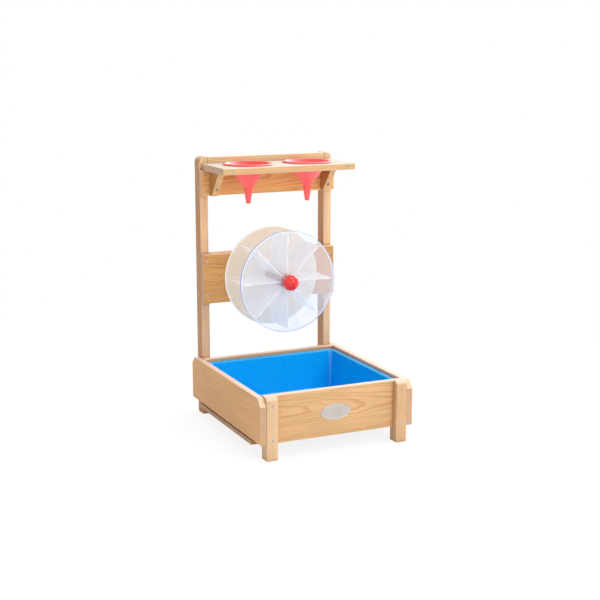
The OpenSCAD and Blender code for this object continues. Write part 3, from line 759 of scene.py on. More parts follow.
@dataclass(frozen=True)
class Pine(Finish):
    """Planed softwood board with its own rings, fibres and softened edges, and painted light: paler
    tops, a highlight on the edges, shading on faces that point left, and shade in crevices.
    """

    early: Colour = (215, 174, 127)
    late: Colour = (187, 128, 70)
    ring: float = 3.6 * MM
    contrast: float = 0.62
    pith_across: float = 14 * MM
    pith_depth: float = 62 * MM
    drift: float = 0.03
    arris: float = 2.2 * MM
    # Painted highlight along the rounded edges: its tone and share
    arris_highlight_tone: Colour = (248, 228, 208)
    arris_highlight_share: float = 0.65
    # Painted light on faces that point up: where it begins, its tone and share
    lit_top_from: Ramp = (0.6, 0.95)
    lit_top_tone: Colour = (250, 228, 220)
    lit_top_share: float = 0.55
    # Painted shade in corners and where parts meet, from ambient occlusion: its tone, share and
    # reach
    crevice_shade_tone: Colour = (150, 88, 40)
    crevice_shade_share: float = 0.6
    reach: float = 12 * MM
    # On square boards the faces that slant off the axes also take the painted edge highlight
    square: bool = True
    slope_highlight: Ramp = (0.94, 0.88, 0.0, 0.55)
    end_from: Ramp = (0.75, 0.9)
    end_tone: Colour = (196, 172, 158)
    end_share: float = 0.38
    # Painted shading on faces that point left: where it begins, its tone and share; a darker tone
    # paints shade, a paler one paints light
    left_shading_from: Ramp = (-0.5, -0.9, 0.0)
    left_shading_tone: Colour = (255, 255, 255)
    left_shading_share: float = 0.0
    along: int | None = None
    bump: float = 0.25 * MM
    bump_strength: float = 0.35
    specular: float = 0.12
    oil: float = 0.06
    oil_gloss: float = 0.32

    def material(self, effects: Effects, node: str, seed: float) -> Material:
        """Makes the finish for one board, its grain along the board's longest side.

        Args:
            effects: The shared shader groups.
            node: The board's CAD node.
            seed: Picks the board's own pattern.

        Returns:
            The board's material.
        """
        w, shader, material = self.start(f"{self.name}_{node}")
        low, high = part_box(node)
        size = high - low
        order = sorted(range(3), key=lambda axis: (axis != self.along, -size[axis]))
        coords = w.add("ShaderNodeTexCoord").outputs
        centred = w.split(w.vector("SUBTRACT", coords["Object"], tuple((low + high) / 2)))
        way = w.split(coords["Normal"])
        facing = [w.math("ABSOLUTE", part) for part in way]
        end = w.ramp(facing[order[0]], *self.end_from)
        wood = w.group(effects.pine, {
            "Place": w.join(*(centred[axis] for axis in order)), "End": end, "Seed": seed,
            "Early": linear(self.early), "Late": linear(self.late), "Ring": self.ring,
            "Pith Across": self.pith_across, "Pith Depth": self.pith_depth,
            "Drift": self.drift, "Contrast": self.contrast,
            "End Tone": linear(self.end_tone), "End Share": self.end_share})
        edge = w.group(effects.soft_edge, {"Radius": self.arris, "Reach": self.reach})
        side = w.minus(1.0, end)
        # Painted highlight: the rounded edges, and on square boards the slanted faces, blend toward
        # a pale tone
        arris = edge["Edge"]
        if self.square:
            slope_highlight = w.times(w.ramp(w.highest(*facing), *self.slope_highlight), side)
            arris = w.highest(arris, slope_highlight)
        # Painted light: faces that point up blend toward a pale tone, as if lit from above
        top = w.times(w.ramp(way[2], *self.lit_top_from), side)
        # Painted shading on faces that point left
        colour = w.blend(w.ramp(way[0], *self.left_shading_from, self.left_shading_share), wood["Color"],
                         linear(self.left_shading_tone))
        for mask, share, tone in ((top, self.lit_top_share, self.lit_top_tone),
                                  # painted highlight on the edges
                                  (arris, self.arris_highlight_share, self.arris_highlight_tone),
                                  # painted shade in corners and where parts meet
                                  (edge["Crevice Shade"], self.crevice_shade_share, self.crevice_shade_tone)):
            colour = w.blend(w.times(mask, share), colour, linear(tone))
        w.feed(shader, {
            "Base Color": colour, "Roughness": wood["Roughness"],
            "Normal": w.bump(self.bump_strength, self.bump, wood["Height"], edge["Normal"]),
            "Specular IOR Level": self.specular, "Coat Weight": self.oil,
            "Coat Roughness": self.oil_gloss})
        return material


@dataclass(frozen=True)
class Moulded(Finish):
    """Satin moulded plastic with faint flow clouds, orange peel and handling marks, and painted
    light: a highlight on edges and corners, paler tops, shading by the way faces turn, and a dark
    dot of shade.
    """

    colour: Colour = (255, 82, 82)
    pale: Colour = (255, 114, 106)
    # Painted highlight on the rounded edges: its tone, the rounding's radius and its share
    edge: Colour = (255, 170, 160)
    edge_radius: float = 0.5 * MM
    edge_highlight_share: float = 0.5
    gloss: float = 0.26
    cloud: float = 0.35
    rub: float = 1.0
    # Painted light on faces that point up, such as a funnel's flange: where it begins, its tone and
    # share
    lit_top_from: Ramp = (0.93, 0.99)
    lit_top_tone: Colour = (255, 236, 232)
    lit_top_share: float = 0.0
    # Painted highlight down rounded upright corners: where it lies, its blur, the upright faces
    # that take it, its tone and share
    corner_highlight_from: Point | None = None
    corner_highlight_blur: float = 2 * MM
    corner_highlight_upright: Ramp = (0.5, 0.2, 0.0)
    corner_highlight_tone: Colour = (120, 200, 255)
    corner_highlight_share: float = 0.0
    # Painted shading on inner faces: those turned right take a pale painted light, those turned
    # left a deep painted shade
    inside_shading_from: Ramp = (0.1, 0.4, 0.0)
    right_shading_from: Ramp = (-0.1, 0.6)
    right_shading_tone: Colour = (255, 232, 230)
    left_shading_from: Ramp = (0.1, -0.6)
    left_shading_tone: Colour = (240, 72, 74)
    side_shading_share: float = 0.0
    texture: float = 0.12
    texture_depth: float = 0.1 * MM
    coat: float = 0.0
    coat_gloss: float = 0.12
    # A dark dot of painted shade, standing for a small hole at the knob's pole: its place, blurred
    # edge and tone
    dimple: Point | None = None
    dimple_edge: Ramp = (3.2 * MM, 1.8 * MM)
    dimple_shade_tone: Colour = (150, 14, 16)

    def material(self, effects: Effects) -> Material:
        """Makes the finish.

        Args:
            effects: The shared shader groups.

        Returns:
            The material.
        """
        w, shader, material = self.start(self.name)
        coords = w.add("ShaderNodeTexCoord").outputs
        place = coords["Object"]
        right, _, up = w.split(coords["Normal"])
        skin = w.group(effects.moulded, {"Place": place, "Gloss": self.gloss, "Rub": self.rub})
        edge = w.group(effects.soft_edge, {"Radius": self.edge_radius})
        colour = w.blend(w.times(skin["Tone"], self.cloud), linear(self.colour),
                         linear(self.pale))
        # Painted highlight down the rounded upright corners
        if self.corner_highlight_from:
            from_x, from_y, middle = self.corner_highlight_from
            x, y = w.split(place)[:2]
            across = w.math("ABSOLUTE", x)
            back = w.math("ABSOLUTE", w.minus(y, middle))
            near = w.times(w.ramp(across, from_x, from_x + self.corner_highlight_blur),
                           w.ramp(back, from_y, from_y + self.corner_highlight_blur),
                           w.ramp(up, *self.corner_highlight_upright, self.corner_highlight_share))
            colour = w.blend(near, colour, linear(self.corner_highlight_tone))
        # Painted light and shade by the way the inner faces turn
        if self.side_shading_share:
            inside = w.ramp(up, *self.inside_shading_from, self.side_shading_share)
            for reach, tone in ((self.right_shading_from, self.right_shading_tone),
                                (self.left_shading_from, self.left_shading_tone)):
                colour = w.blend(w.times(w.ramp(right, *reach), inside), colour, linear(tone))
        # Painted light on faces that point up
        colour = w.blend(w.times(w.ramp(up, *self.lit_top_from), self.lit_top_share), colour,
                         linear(self.lit_top_tone))
        # Painted highlight on the rounded edges
        colour = w.blend(w.times(edge["Edge"], self.edge_highlight_share), colour, linear(self.edge))
        # Painted shade: a dark dot for a small hole
        if self.dimple:
            away = w.vector("DISTANCE", place, self.dimple)
            colour = w.blend(w.ramp(away, *self.dimple_edge), colour, linear(self.dimple_shade_tone))
        w.feed(shader, {
            "Base Color": colour, "Roughness": skin["Roughness"],
            "Normal": w.bump(self.texture, self.texture_depth, skin["Height"], edge["Normal"]),
            "Coat Weight": self.coat, "Coat Roughness": self.coat_gloss})
        return material


@dataclass(frozen=True)
class Metal(Finish):
    """Zinc-plated or brushed metal with fine lines and a painted highlight on its edges."""

    dark: Colour = (150, 152, 156)
    light: Colour = (214, 215, 218)
    # Painted highlight on the rounded edges: its tone, the rounding's radius and its share
    edge: Colour = (238, 238, 240)
    edge_radius: float = 0.2 * MM
    edge_highlight_share: float = 0.6
    gloss: float = 0.34
    metal: float = 0.85
    bump: float = 0.05 * MM
    bump_strength: float = 0.1

    def material(self, effects: Effects) -> Material:
        """Makes the finish.

        Args:
            effects: The shared shader groups.

        Returns:
            The material.
        """
        w, shader, material = self.start(self.name)
        place = w.add("ShaderNodeTexCoord").outputs["Object"]
        lines = w.group(effects.brushed, {"Place": place, "Gloss": self.gloss})
        edge = w.group(effects.soft_edge, {"Radius": self.edge_radius})
        toned = w.blend(lines["Tone"], linear(self.dark), linear(self.light))
        w.feed(shader, {
            # The base colour carries a painted highlight on the edges
            "Base Color": w.blend(w.times(edge["Edge"], self.edge_highlight_share), toned,
                                  linear(self.edge)),
            "Roughness": lines["Roughness"], "Metallic": self.metal,
            "Normal": w.bump(self.bump_strength, self.bump, lines["Height"], edge["Normal"])})
        return material


@dataclass(frozen=True)
class Acrylic(Finish):
    """Clear or milky sheet whose cut edges catch the light, with a paler band inside the rim that
    paints a highlight, and a faint painted glow.
    """

    face: Colour = (222, 231, 246)
    # Painted highlight: the tone of the band inside the rim
    rim: Colour = (246, 248, 254)
    cut: Colour = (22, 118, 212)
    clear: float = 0.20
    misty: float = 0.28
    # A faint emission that paints light coming through the sheet
    glow: float = 0.0
    rim_alpha: float = 0.55
    cut_alpha: float = 0.95
    blade: float = 0.0
    gloss: float = 0.12
    centre: Point = (0.0, 0.0, 0.0)
    radius: float = 142 * MM
    rim_width: float = 4.2 * MM
    lip: float = 1.8 * MM
    shade_share: float = 0.05
    bump: float = 0.05 * MM
    bump_strength: float = 0.04

    def material(self, effects: Effects) -> Material:
        """Makes the finish.

        Args:
            effects: The shared shader groups.

        Returns:
            The material.
        """
        w, shader, material = self.start(self.name)
        coords = w.add("ShaderNodeTexCoord").outputs
        sheet = w.group(effects.sheet_edge, {
            "Place": w.vector("SUBTRACT", coords["Object"], self.centre),
            "Facing": coords["Normal"], "Radius": self.radius, "Width": self.rim_width,
            "Lip": self.lip, "Blade": self.blade})
        skin = w.group(effects.moulded, {"Place": coords["Object"], "Gloss": self.gloss})
        # Painted highlight: the band inside the rim blends toward a paler tone
        banded = w.blend(sheet["Rim"], linear(self.face), linear(self.rim))
        tinted = w.blend(sheet["Cut"], banded, linear(self.cut))
        body = w.plus(self.clear, w.times(sheet["Haze"], self.misty - self.clear))
        alpha = w.mix(sheet["Cut"], w.mix(sheet["Rim"], body, self.rim_alpha), self.cut_alpha)
        path = w.add("ShaderNodeLightPath").outputs
        passing = w.highest(path["Is Shadow Ray"], path["Is Diffuse Ray"])
        kept = w.minus(1.0, w.times(passing, 1.0 - self.shade_share))
        # The emission paints a glow on the sheet
        w.feed(shader, {
            "Base Color": tinted, "Emission Color": tinted, "Emission Strength": self.glow,
            "Alpha": w.times(alpha, kept), "Roughness": skin["Roughness"],
            "Normal": w.bump(self.bump_strength, self.bump, skin["Height"])})
        return material


# Sub-assemblies


def middle_of(node: str) -> Vector:
    """Returns the middle of a CAD node's box."""
    low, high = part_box(node)
    return (low + high) / 2


@dataclass
class Boards:
    """The frame's wooden boards, which keep their CAD shapes and each get their own grain. The
    finishes are copies of one pine made lighter, darker or warmer board by board where light falls
    differently on each, which paints light and shade into the wood's colour.
    """

    effects: Effects
    plain: Pine = Pine("pine")
    # The shelf's top takes a strong painted light: most of the wood blends toward a pale neutral
    # grey
    shelf: Pine = Pine("pine_shelf", lit_top_tone=(206, 204, 201), lit_top_share=0.74)
    # Painted light: paler copies for boards that stand in more light
    light: Pine = Pine("pine_lit", early=(222, 192, 150), late=(196, 148, 96))
    leg: Pine = Pine("pine_leg", early=(213, 176, 133), late=(186, 130, 76),
                     end_from=(0.15, 0.75), end_tone=(236, 220, 206), end_share=0.6)
    lit_leg: Pine = Pine("pine_lit_leg", early=(224, 190, 150), late=(198, 146, 96),
                           end_from=(0.15, 0.75), end_tone=(232, 210, 196), end_share=0.55)
    # Posts and braces also darken their faces that point left, a painted shade
    post: Pine = Pine("pine_post", early=(228, 186, 144), late=(202, 144, 94),
                      end_from=(0.15, 0.75), left_shading_tone=(158, 92, 17), left_shading_share=0.6)
    lit_post: Pine = Pine("pine_lit_post", early=(231, 195, 156), late=(206, 150, 102),
                            end_from=(0.15, 0.75), left_shading_tone=(166, 92, 14), left_shading_share=0.62)
    brace: Pine = Pine("pine_brace", early=(222, 178, 128), along=2, crevice_shade_share=0.2,
                       left_shading_tone=(174, 120, 60), left_shading_share=0.85, square=False)
    # Painted shade: darker copies for boards seen in shade
    shade: Pine = Pine("pine_shade", early=(214, 164, 110), late=(186, 126, 72), contrast=0.3,
                       crevice_shade_share=0.35)
    # The right side board's inner face points left and takes a paler painted light
    inward: Pine = Pine("pine_inward", early=(214, 164, 110), late=(186, 126, 72),
                        contrast=0.3, crevice_shade_share=0.35, left_shading_tone=(255, 198, 178),
                        left_shading_share=0.8)
    slat: Pine = Pine("pine_slat", early=(198, 152, 108), late=(158, 106, 62),
                      end_tone=(168, 138, 118), end_share=0.35, arris_highlight_share=0.4)
    rear: Pine = Pine("pine_rear", early=(226, 180, 136), late=(196, 136, 88),
                      crevice_shade_share=0.25)
    # Painted shade: warmer, deeper copies for the apron under the shelf and the board behind the
    # wheel
    warm: Pine = Pine("pine_warm", early=(238, 182, 116), late=(194, 118, 56), contrast=0.75)
    amber: Pine = Pine("pine_amber", early=(210, 155, 96), late=(180, 112, 54), contrast=0.75)
    seed: float = 11.0
    seed_step: float = 3.7

    def build(self) -> list[str]:
        """Gives each board its own material.

        Returns:
            The dressed nodes.
        """
        alike = {
            self.plain: ["front_board"],
            self.slat: ["slat_1", "slat_2", "slat_3", "slat_4"],
            self.shelf: ["shelf"],
            self.light: ["top_rail"],
            self.leg: ["front_leg_right"],
            self.lit_leg: ["front_leg_left"],
            self.post: ["upright_left"],
            self.lit_post: ["upright_right"],
            self.brace: ["bracket_left", "bracket_right"],
            self.shade: ["side_board_left", "cleat_left", "cleat_right", "wheel_rail"],
            self.inward: ["side_board_right"],
            self.warm: ["apron_board"],
            self.rear: ["rear_board"],
            self.amber: ["wheel_board"]}
        boards = [(node, finish) for finish, nodes in alike.items() for node in nodes]
        return [dress(node, finish.material(self.effects, node, self.seed + self.seed_step * index))
                for index, (node, finish) in enumerate(boards)]


@dataclass
class SandTub:
    """The blue tub: a moulded basin with a rounded rim and a turned-down lip."""

    effects: Effects
    node: str = "tub"
    wall: float = 2.5 * MM
    rim: float = 7 * MM
    lip: float = 8 * MM
    corner: float = 9 * MM
    # How far inside the outline the painted corner highlight lies
    corner_highlight_line: float = 6 * MM
    floor_round: float = 7 * MM
    floor_lap: float = 30 * MM
    least_round: float = 1.5 * MM
    taper: float = 5 * MM
    throat: float = 8 * MM
    tuck_share: float = 0.3
    steps: int = 12
    # The tub's finish paints a light blue highlight on its rounded edges and down its rounded
    # upright corners
    finish: Moulded = Moulded("blue", colour=(0, 178, 244), pale=(2, 184, 247),
                              edge=(84, 178, 255), gloss=0.28, cloud=0.15, rub=0.3,
                              corner_highlight_share=0.8, texture=0.03)

    def ring(self, inset: float, height: float) -> list[Point]:
        """Lists a rounded rectangle inside the tub's outline.

        Args:
            inset: How far it lies inside the outermost line.
            height: Its height.

        Returns:
            The ring's points.
        """
        low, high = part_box(self.node)
        middle = middle_of(self.node)
        half_w, half_d = (high.x - low.x) / 2 - inset, (high.y - low.y) / 2 - inset
        radius = max(self.corner + self.rim - inset, self.least_round)
        points = []
        for sx, sy, start in ((1, 1, 0), (-1, 1, 90), (-1, -1, 180), (1, -1, 270)):
            centre = (middle.x + sx * (half_w - radius), middle.y + sy * (half_d - radius))
            points += arc(centre, radius, start, start + 90, self.steps)
        return [(x, y, height) for x, y in points]

    def section(self) -> list[Pair]:
        """Lists the wall's section from the floor's inside over the rim to the floor's outside.

        Returns:
            Insets from the outermost line, with heights.
        """
        low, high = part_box(self.node)
        t, top, base, bend = self.wall, high.z, low.z, self.floor_round
        half, tuck = t / 2, self.tuck_share * t
        outer = self.rim + self.taper
        inner = outer + t
        return [
            (inner + bend + self.floor_lap, base + t),
            *arc((inner + bend, base + t + bend), bend, 270, 180, 6),
            (self.rim + t, top - self.throat),
            *arc((self.rim - t, top - 2 * t), 2 * t, 0, 90, 5),
            *arc((t, top - t), t, 90, 180, 5),
            *arc((half, top - self.lip + half), half, 180, 360, 4),
            *arc((t + tuck, top - t - tuck), tuck, 180, 90, 3),
            *arc((self.rim - t, top - 2 * t), t, 90, 0, 3),
            *arc((outer + bend, base + bend), bend, 180, 270, 6),
            (outer + bend + self.floor_lap, base)]

    def build(self) -> list[str]:
        """Lofts the tub and puts it in place of its CAD solid.

        Returns:
            The piece's name.
        """
        low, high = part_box(self.node)
        mesh = loft([self.ring(inset, height) for inset, height in self.section()], "sand_tub")
        # Where the painted corner highlight lies
        inward = self.rim + self.taper + self.corner_highlight_line
        corner = (high.x - inward, (high.y - low.y) / 2 - inward, middle_of(self.node).y)
        mesh.materials.append(replace(self.finish, corner_highlight_from=corner).material(self.effects))
        return [seat(make_object("sand_tub", mesh), Body.TUB, self.node)]


@dataclass
class OvalPlate:
    """The oval plate on the front board: thin sheet with a raised bead along its edge."""

    effects: Effects
    node: str = "front_plate"
    bead: float = 1.6 * MM
    bead_shares: tuple[Pair, ...] = ((0.0, 0.0), (0.0, 0.55), (0.15625, 0.85), (0.375, 1.0),
                                     (0.75, 0.85), (1.0, 0.55), (1.375, 0.5))
    points: int = 96
    finish: Metal = Metal("plate", dark=(188, 181, 175), light=(216, 209, 202), gloss=0.42)

    def build(self) -> list[str]:
        """Lofts the plate, its bead in shares of the bead's width and the sheet's thickness.

        Returns:
            The piece's name.
        """
        low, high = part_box(self.node)
        middle, half = middle_of(self.node), (high - low) / 2
        turns = [2 * math.pi * i / self.points for i in range(self.points)]
        rings = [[(middle.x + (half.x - inset * self.bead) * math.cos(a),
                   high.y - (high.y - low.y) * rise,
                   middle.z + (half.z - inset * self.bead) * math.sin(a)) for a in turns]
                 for inset, rise in self.bead_shares]
        mesh = loft(rings, "oval_plate")
        mesh.materials.append(self.finish.material(self.effects))
        return [seat(make_object("oval_plate", mesh), Body.ROOT, self.node)]


@dataclass
class Funnels:
    """The two funnels: one turned outline with rolled lips, on a body each."""

    effects: Effects
    mouth: float = 62.5 * MM
    mouth_round: float = 2.2 * MM
    mouth_lap: float = 1.6 * MM
    mouth_step: float = 1.0 * MM
    cone_start: Pair = (0.8 * MM, 3.6 * MM)
    cone_end: Pair = (1.0 * MM, 1.2 * MM)
    seat_step: float = 0.5 * MM
    neck: float = 12.4 * MM
    neck_bend: tuple[Pair, ...] = ((1.6 * MM, 2.6 * MM), (0.0, -0.6 * MM), (-0.35 * MM, -4 * MM))
    tip: float = 6.3 * MM
    tip_round: float = 0.5 * MM
    tip_shares: Pair = (0.7, 0.3)
    wall: float = 1.8 * MM
    rim_t: float = 4.5 * MM
    cone_h: float = 63 * MM
    sides: int = 128
    # The funnels' finish paints light on the flange top and on inner faces turned right, and shade
    # on inner faces turned left
    finish: Moulded = Moulded("coral", pale=(255, 122, 115), gloss=0.34, cloud=0.6, lit_top_share=0.1,
                              side_shading_share=0.65)

    def outline(self, node: str) -> list[Pair]:
        """Lists the funnel's outline of radius and height, all round its wall.

        Args:
            node: The funnel's CAD node, whose box gives its height and rim.

        Returns:
            The closed outline.
        """
        low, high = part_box(node)
        rim, height = (high.x - low.x) / 2, high.z - low.z
        seat_z = height - self.rim_t
        neck_z = seat_z - self.cone_h
        t, half = self.wall, self.rim_t / 2
        inside = self.mouth - t
        rolled = arc((inside + self.mouth_lap, height - self.mouth_round), self.mouth_round,
                     90, 130, 4)
        return [
            *arc((rim - half, seat_z + half), half, -90, 90, 8),
            (self.mouth + self.mouth_step, height),
            *rolled[1:],
            (inside - self.cone_start[0], height - self.cone_start[1]),
            *((self.neck - t + out, neck_z + up) for out, up in self.neck_bend),
            (self.tip - t, self.tip_round),
            *((self.tip - t * share, 0.0) for share in self.tip_shares),
            (self.tip, self.tip_round),
            *((self.neck + out, neck_z + up) for out, up in reversed(self.neck_bend)),
            (self.mouth - self.cone_end[0], seat_z - self.cone_end[1]),
            (self.mouth + self.seat_step, seat_z)]

    def build(self) -> list[str]:
        """Turns both funnels and puts them in place of their CAD solids.

        Returns:
            The pieces' names.
        """
        tree = turned_form()
        material = self.finish.material(self.effects)
        names = []
        for node, body in (("funnel_left", Body.FUNNEL_LEFT), ("funnel_right", Body.FUNNEL_RIGHT)):
            middle = middle_of(node)
            path = self.outline(node)
            mesh = bpy.data.meshes.new(f"{node}_turned")
            mesh.from_pydata([(r, 0.0, z) for r, z in path],
                             [(i, (i + 1) % len(path)) for i in range(len(path))], [])
            piece = make_object(f"{node}_turned", mesh)
            grow(piece, tree, {"Sides": self.sides, "Finish": material,
                               "Place": (middle.x, middle.y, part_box(node)[0].z)})
            names.append(seat(piece, body, node))
        return names


@dataclass
class PaddleWheel:
    """The paddle wheel: clear discs, milky paddles, turned hub, bushes, axle and knob."""

    effects: Effects
    hub_finish: Pine = Pine("hub", early=(190, 156, 126), late=(146, 110, 84), ring=1.6 * MM,
                            pith_across=6 * MM, pith_depth=9 * MM, square=False)
    hub_seed: float = 91.0
    # The knob's edge tone is a painted highlight
    knob_finish: Moulded = Moulded("knob", colour=(240, 24, 20), pale=(250, 34, 28),
                                   edge=(255, 80, 70), gloss=0.14, coat=0.4)
    # The bushes' edge tone is a painted highlight
    bush_finish: Moulded = Moulded("bush", colour=(228, 226, 216), pale=(236, 235, 228),
                                   edge=(250, 250, 246), gloss=0.4)
    steel: Metal = Metal("axle_steel", gloss=0.28)
    front: Acrylic = Acrylic("clear_disc")
    # The rear disc and the paddles carry a faint painted glow
    rear: Acrylic = Acrylic("rear_disc", face=(228, 210, 188), rim=(254, 250, 242),
                            cut=(252, 252, 252), clear=0.82, misty=0.9, rim_width=3 * MM,
                            glow=0.02)
    paddle: Acrylic = Acrylic("paddle", face=(249, 251, 253), rim=(253, 253, 255),
                              cut=(252, 252, 254), clear=0.52, misty=0.62, blade=1.0,
                              cut_alpha=0.62, rim_alpha=0.62, glow=0.05)
    paddles: int = 8
    paddle_inset: float = 8 * MM

    def build(self) -> list[str]:
        """Gives each piece of the wheel its own material.

        Returns:
            The dressed nodes.
        """
        low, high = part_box("front_disc")
        centre = ((low.x + high.x) / 2, 0.0, (low.z + high.z) / 2)
        radius = (high.x - low.x) / 2
        pole = middle_of("knob")
        pole.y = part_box("knob")[0].y
        # The dot of painted shade sits at the knob's front pole
        knob = replace(self.knob_finish, dimple=tuple(pole))
        blade_radius = radius - self.paddle_inset
        blades = [f"paddle_{index + 1}" for index in range(self.paddles)]
        looks = [
            (replace(self.front, centre=centre, radius=radius), ["front_disc"]),
            (replace(self.rear, centre=centre, radius=radius), ["rear_disc"]),
            (replace(self.paddle, centre=centre, radius=blade_radius), blades),
            (self.bush_finish, ["hub_bushes"]),
            (knob, ["knob"]),
            (self.steel, ["axle", "axle_nuts", "axle_washers"])]
        names = [dress("hub", self.hub_finish.material(self.effects, "hub", self.hub_seed))]
        for finish, nodes in looks:
            material = finish.material(self.effects)
            names += [dress(node, material) for node in nodes]
        return names


@dataclass
class ScrewSet:
    """All countersunk screws, set where the CAD has them, with cut cross recesses."""

    effects: Effects
    head_depth_share: float = 0.6
    shank_share: float = 0.5
    recess_share: float = 1.12
    recess_width_share: float = 0.24
    recess_depth_share: float = 0.4
    first_seed: int = 5
    sunk_node: str = "bracket_screws"
    wheel_node: str = "hub_screws"
    finish: Metal = Metal("screw_steel", dark=(172, 163, 156), light=(216, 207, 200), gloss=0.45,
                          metal=0.3)
    # The screws sunk in the brackets' slopes are near white and not metallic, which paints light
    # into the shade of their holes
    sunk_painted_light_finish: Metal = Metal("sunk_screw_painted_light", dark=(236, 230, 228), light=(255, 250, 246),
                               gloss=0.6, metal=0.0)

    @staticmethod
    def groups(mesh: Mesh) -> list[list[Vector]]:
        """Lists the points of each separate screw in a mesh.

        Args:
            mesh: The CAD mesh of one set of screws.

        Returns:
            The points, a list for each screw.
        """
        shape = bmesh.new()
        shape.from_mesh(mesh)
        bmesh.ops.remove_doubles(shape, verts=shape.verts, dist=MERGE_DISTANCE)
        left = set(shape.verts)
        found = []
        while left:
            group, edge = [], [left.pop()]
            while edge:
                vert = edge.pop()
                group.append(vert.co.copy())
                near = {link.other_vert(vert) for link in vert.link_edges} & left
                left -= near
                edge += near
            found.append(group)
        shape.free()
        return found

    def spots(self, node: str) -> tuple[list[tuple[Point, Point]], float, float]:
        """Reads where a node's screws are.

        Args:
            node: The CAD node that holds the screws.

        Returns:
            The middle of each head's top face with its way out, in order of place, then the
            set's largest head radius and length.
        """
        found, radius, length = [], 0.0, 0.0
        for group in self.groups(bpy.data.objects[node].data):
            low = Vector(min(p[i] for p in group) for i in range(3))
            high = Vector(max(p[i] for p in group) for i in range(3))
            size, centre = high - low, (low + high) / 2
            axis = max(range(3), key=lambda i: size[i])
            # The screws come in no fixed order, and the set's largest sizes don't depend on it
            radius = max(radius, *(size[i] / 2 for i in range(3) if i != axis))
            length = max(length, size[axis])
            widest = max(group, key=lambda p: (p - centre).length_squared - (p - centre)[axis] ** 2)
            head_up = widest[axis] > centre[axis]
            centre[axis] = high[axis] if head_up else low[axis]
            way = Vector((0.0, 0.0, 0.0))
            way[axis] = 1.0 if head_up else -1.0
            found.append((tuple(centre), tuple(way)))
        return sorted(found), radius, length

    def build(self) -> list[str]:
        """Sets every screw and puts the sets in place of their CAD nodes.

        Returns:
            The pieces' names.
        """
        tree = screw_form()
        steel = self.finish.material(self.effects)
        # Painted light for the sunk screws
        sunk = self.sunk_painted_light_finish.material(self.effects)
        names = []
        nodes = sorted(name for name in frame["nodes"] if name.endswith("_screws"))
        for index, node in enumerate(nodes):
            found, radius, length = self.spots(node)
            mesh = bpy.data.meshes.new(f"{node}_set")
            mesh.from_pydata([top for top, _ in found], [], [])
            out = mesh.attributes.new("out", "FLOAT_VECTOR", "POINT")
            for row, (_, way) in enumerate(found):
                out.data[row].vector = way
            piece = make_object(f"{node}_set", mesh)
            grow(piece, tree, {
                "Head Radius": radius, "Head Depth": radius * self.head_depth_share,
                "Shank Radius": radius * self.shank_share, "Length": length, "Tip": radius,
                "Recess Length": radius * self.recess_share,
                "Recess Width": radius * self.recess_width_share,
                "Recess Depth": radius * self.recess_depth_share,
                "Seed": self.first_seed + index,
                "Finish": sunk if node == self.sunk_node else steel})
            body = Body.WHEEL if node == self.wheel_node else Body.ROOT
            names.append(seat(piece, body, node))
        return names


# Studio


@dataclass(frozen=True)
class Lamp:
    """One square soft lamp."""

    name: str
    place: Point
    target: Point
    size: float
    power: float

    def hang(self) -> None:
        """Hangs the lamp and points it at its target."""
        data = bpy.data.lights.new(self.name, "AREA")
        data.shape, data.size, data.energy = "SQUARE", self.size, self.power
        aim(make_object(self.name, data), self.place, self.target)


def aim(thing: bpy.types.Object, place: Point, target: Point) -> None:
    """Puts a camera or lamp in its place and points it at a target.

    Args:
        thing: The camera or lamp.
        place: Where it stands or hangs.
        target: What it points at.
    """
    thing.location = place
    way = Vector(target) - Vector(place)
    thing.rotation_euler = way.to_track_quat("-Z", "Y").to_euler()


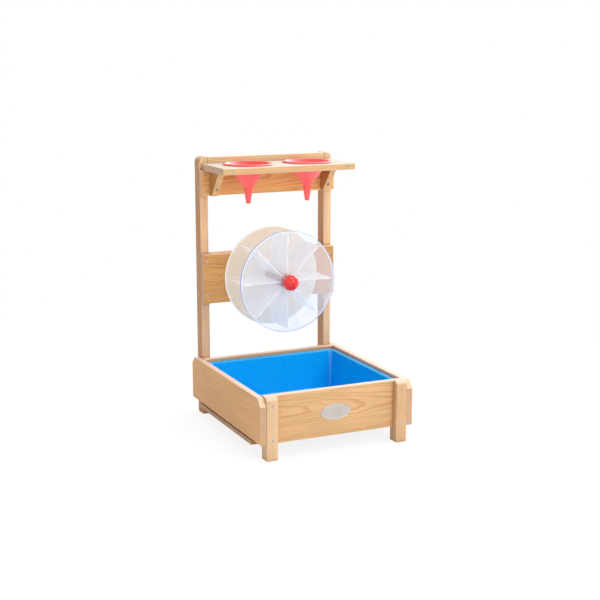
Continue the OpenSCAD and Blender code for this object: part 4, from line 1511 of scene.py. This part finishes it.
@dataclass
class Studio:
    """The camera, the pale floor and the soft lights."""

    camera_at: Point = (-1.3766, -2.9856, 1.0321)
    look_at: Point = (-0.0177, -0.0500, 0.3665)
    lens: float = 73.77
    sensor: float = 36.0
    clear_bounces: int = 32
    floor_size: float = 30.0
    floor_tone: Colour = (252, 252, 252)
    floor_gloss: float = 0.9
    floor_glow: float = 0.86
    glow_reach: Pair = (0.7, 1.8)
    world: float = 0.68
    right_bias: float = 0.5
    lamps: tuple[Lamp, ...] = (
        Lamp("key", (0.8, -2.7, 2.2), (0.0, 0.0, 0.4), 1.6, 30.0),
        Lamp("overhead", (0.5, 0.1, 5.0), (0.0, 0.0, 0.3), 3.1, 135.0),
        Lamp("back_light", (2.0, 1.5, 1.45), (0.0, 0.1, 0.5), 0.8, 26.0),
        Lamp("side_strip", (-2.0, -1.2, 1.3), (0.0, 0.0, 0.3), 0.2, 2.5))

    def build(self) -> None:
        """Sets up the camera, the floor, the world and the lamps."""
        scene = bpy.context.scene
        scene.view_settings.view_transform = "Standard"
        scene.cycles.transparent_max_bounces = self.clear_bounces
        data = bpy.data.cameras.new("camera")
        data.lens, data.sensor_width = self.lens, self.sensor
        scene.camera = make_object("camera", data)
        aim(scene.camera, self.camera_at, self.look_at)
        self.make_floor()
        self.make_world()
        for lamp in self.lamps:
            lamp.hang()

    @staticmethod
    def seen_directly(w: Wiring) -> Socket:
        """Returns a mask of the rays that show the background: camera, glossy and clear ones."""
        path = w.add("ShaderNodeLightPath").outputs
        return w.highest(path["Is Camera Ray"], path["Is Glossy Ray"], path["Is Transmission Ray"])

    def make_floor(self) -> None:
        """Lays the white floor, which keeps the toy's shadow."""
        half = self.floor_size / 2
        mesh = bpy.data.meshes.new("studio_floor")
        mesh.from_pydata([(-half, -half, 0), (half, -half, 0), (half, half, 0),
                          (-half, half, 0)], [], [(0, 1, 2, 3)])
        material = bpy.data.materials.new("floor_white")
        w = emptied(material)
        paint = w.add("ShaderNodeBsdfPrincipled", {"Base Color": linear(self.floor_tone),
                                                   "Roughness": self.floor_gloss})
        glow = w.add("ShaderNodeEmission", {"Color": (1, 1, 1, 1), "Strength": 1.0})
        away = w.vector("LENGTH", w.add("ShaderNodeTexCoord").outputs["Object"])
        share = w.times(self.seen_directly(w),
                        w.ramp(away, *self.glow_reach, self.floor_glow, 1.0))
        mixed = w.add("ShaderNodeMixShader", {0: share, 1: paint.outputs[0], 2: glow.outputs[0]})
        w.add("ShaderNodeOutputMaterial", {"Surface": mixed.outputs[0]})
        mesh.materials.append(material)
        make_object("studio_floor", mesh)

    def make_world(self) -> None:
        """Gives a soft light from all round, stronger from the right, and a white background."""
        world = bpy.data.worlds.new("studio_world")
        bpy.context.scene.world = world
        w = emptied(world)
        toward_right = w.split(w.add("ShaderNodeTexCoord").outputs["Generated"])[0]
        soft = w.times(w.plus(w.times(toward_right, self.right_bias), 1.0), self.world)
        strength = w.mix(self.seen_directly(w), soft, 1.0)
        light = w.add("ShaderNodeBackground", {"Color": (1, 1, 1, 1), "Strength": strength})
        w.add("ShaderNodeOutputWorld", {"Surface": light.outputs[0]})


def main() -> None:
    """Builds the studio and the sub-assemblies in order and reports each piece."""
    logging.basicConfig(level=logging.INFO, format="%(message)s")
    Studio().build()
    log.info("Studio: camera, floor and lamps")
    effects = Effects()
    for form in (Boards, SandTub, OvalPlate, Funnels, PaddleWheel, ScrewSet):
        log.info("%s: %s", form.__name__, ", ".join(form(effects).build()))


if __name__ == "__main__":
    main()
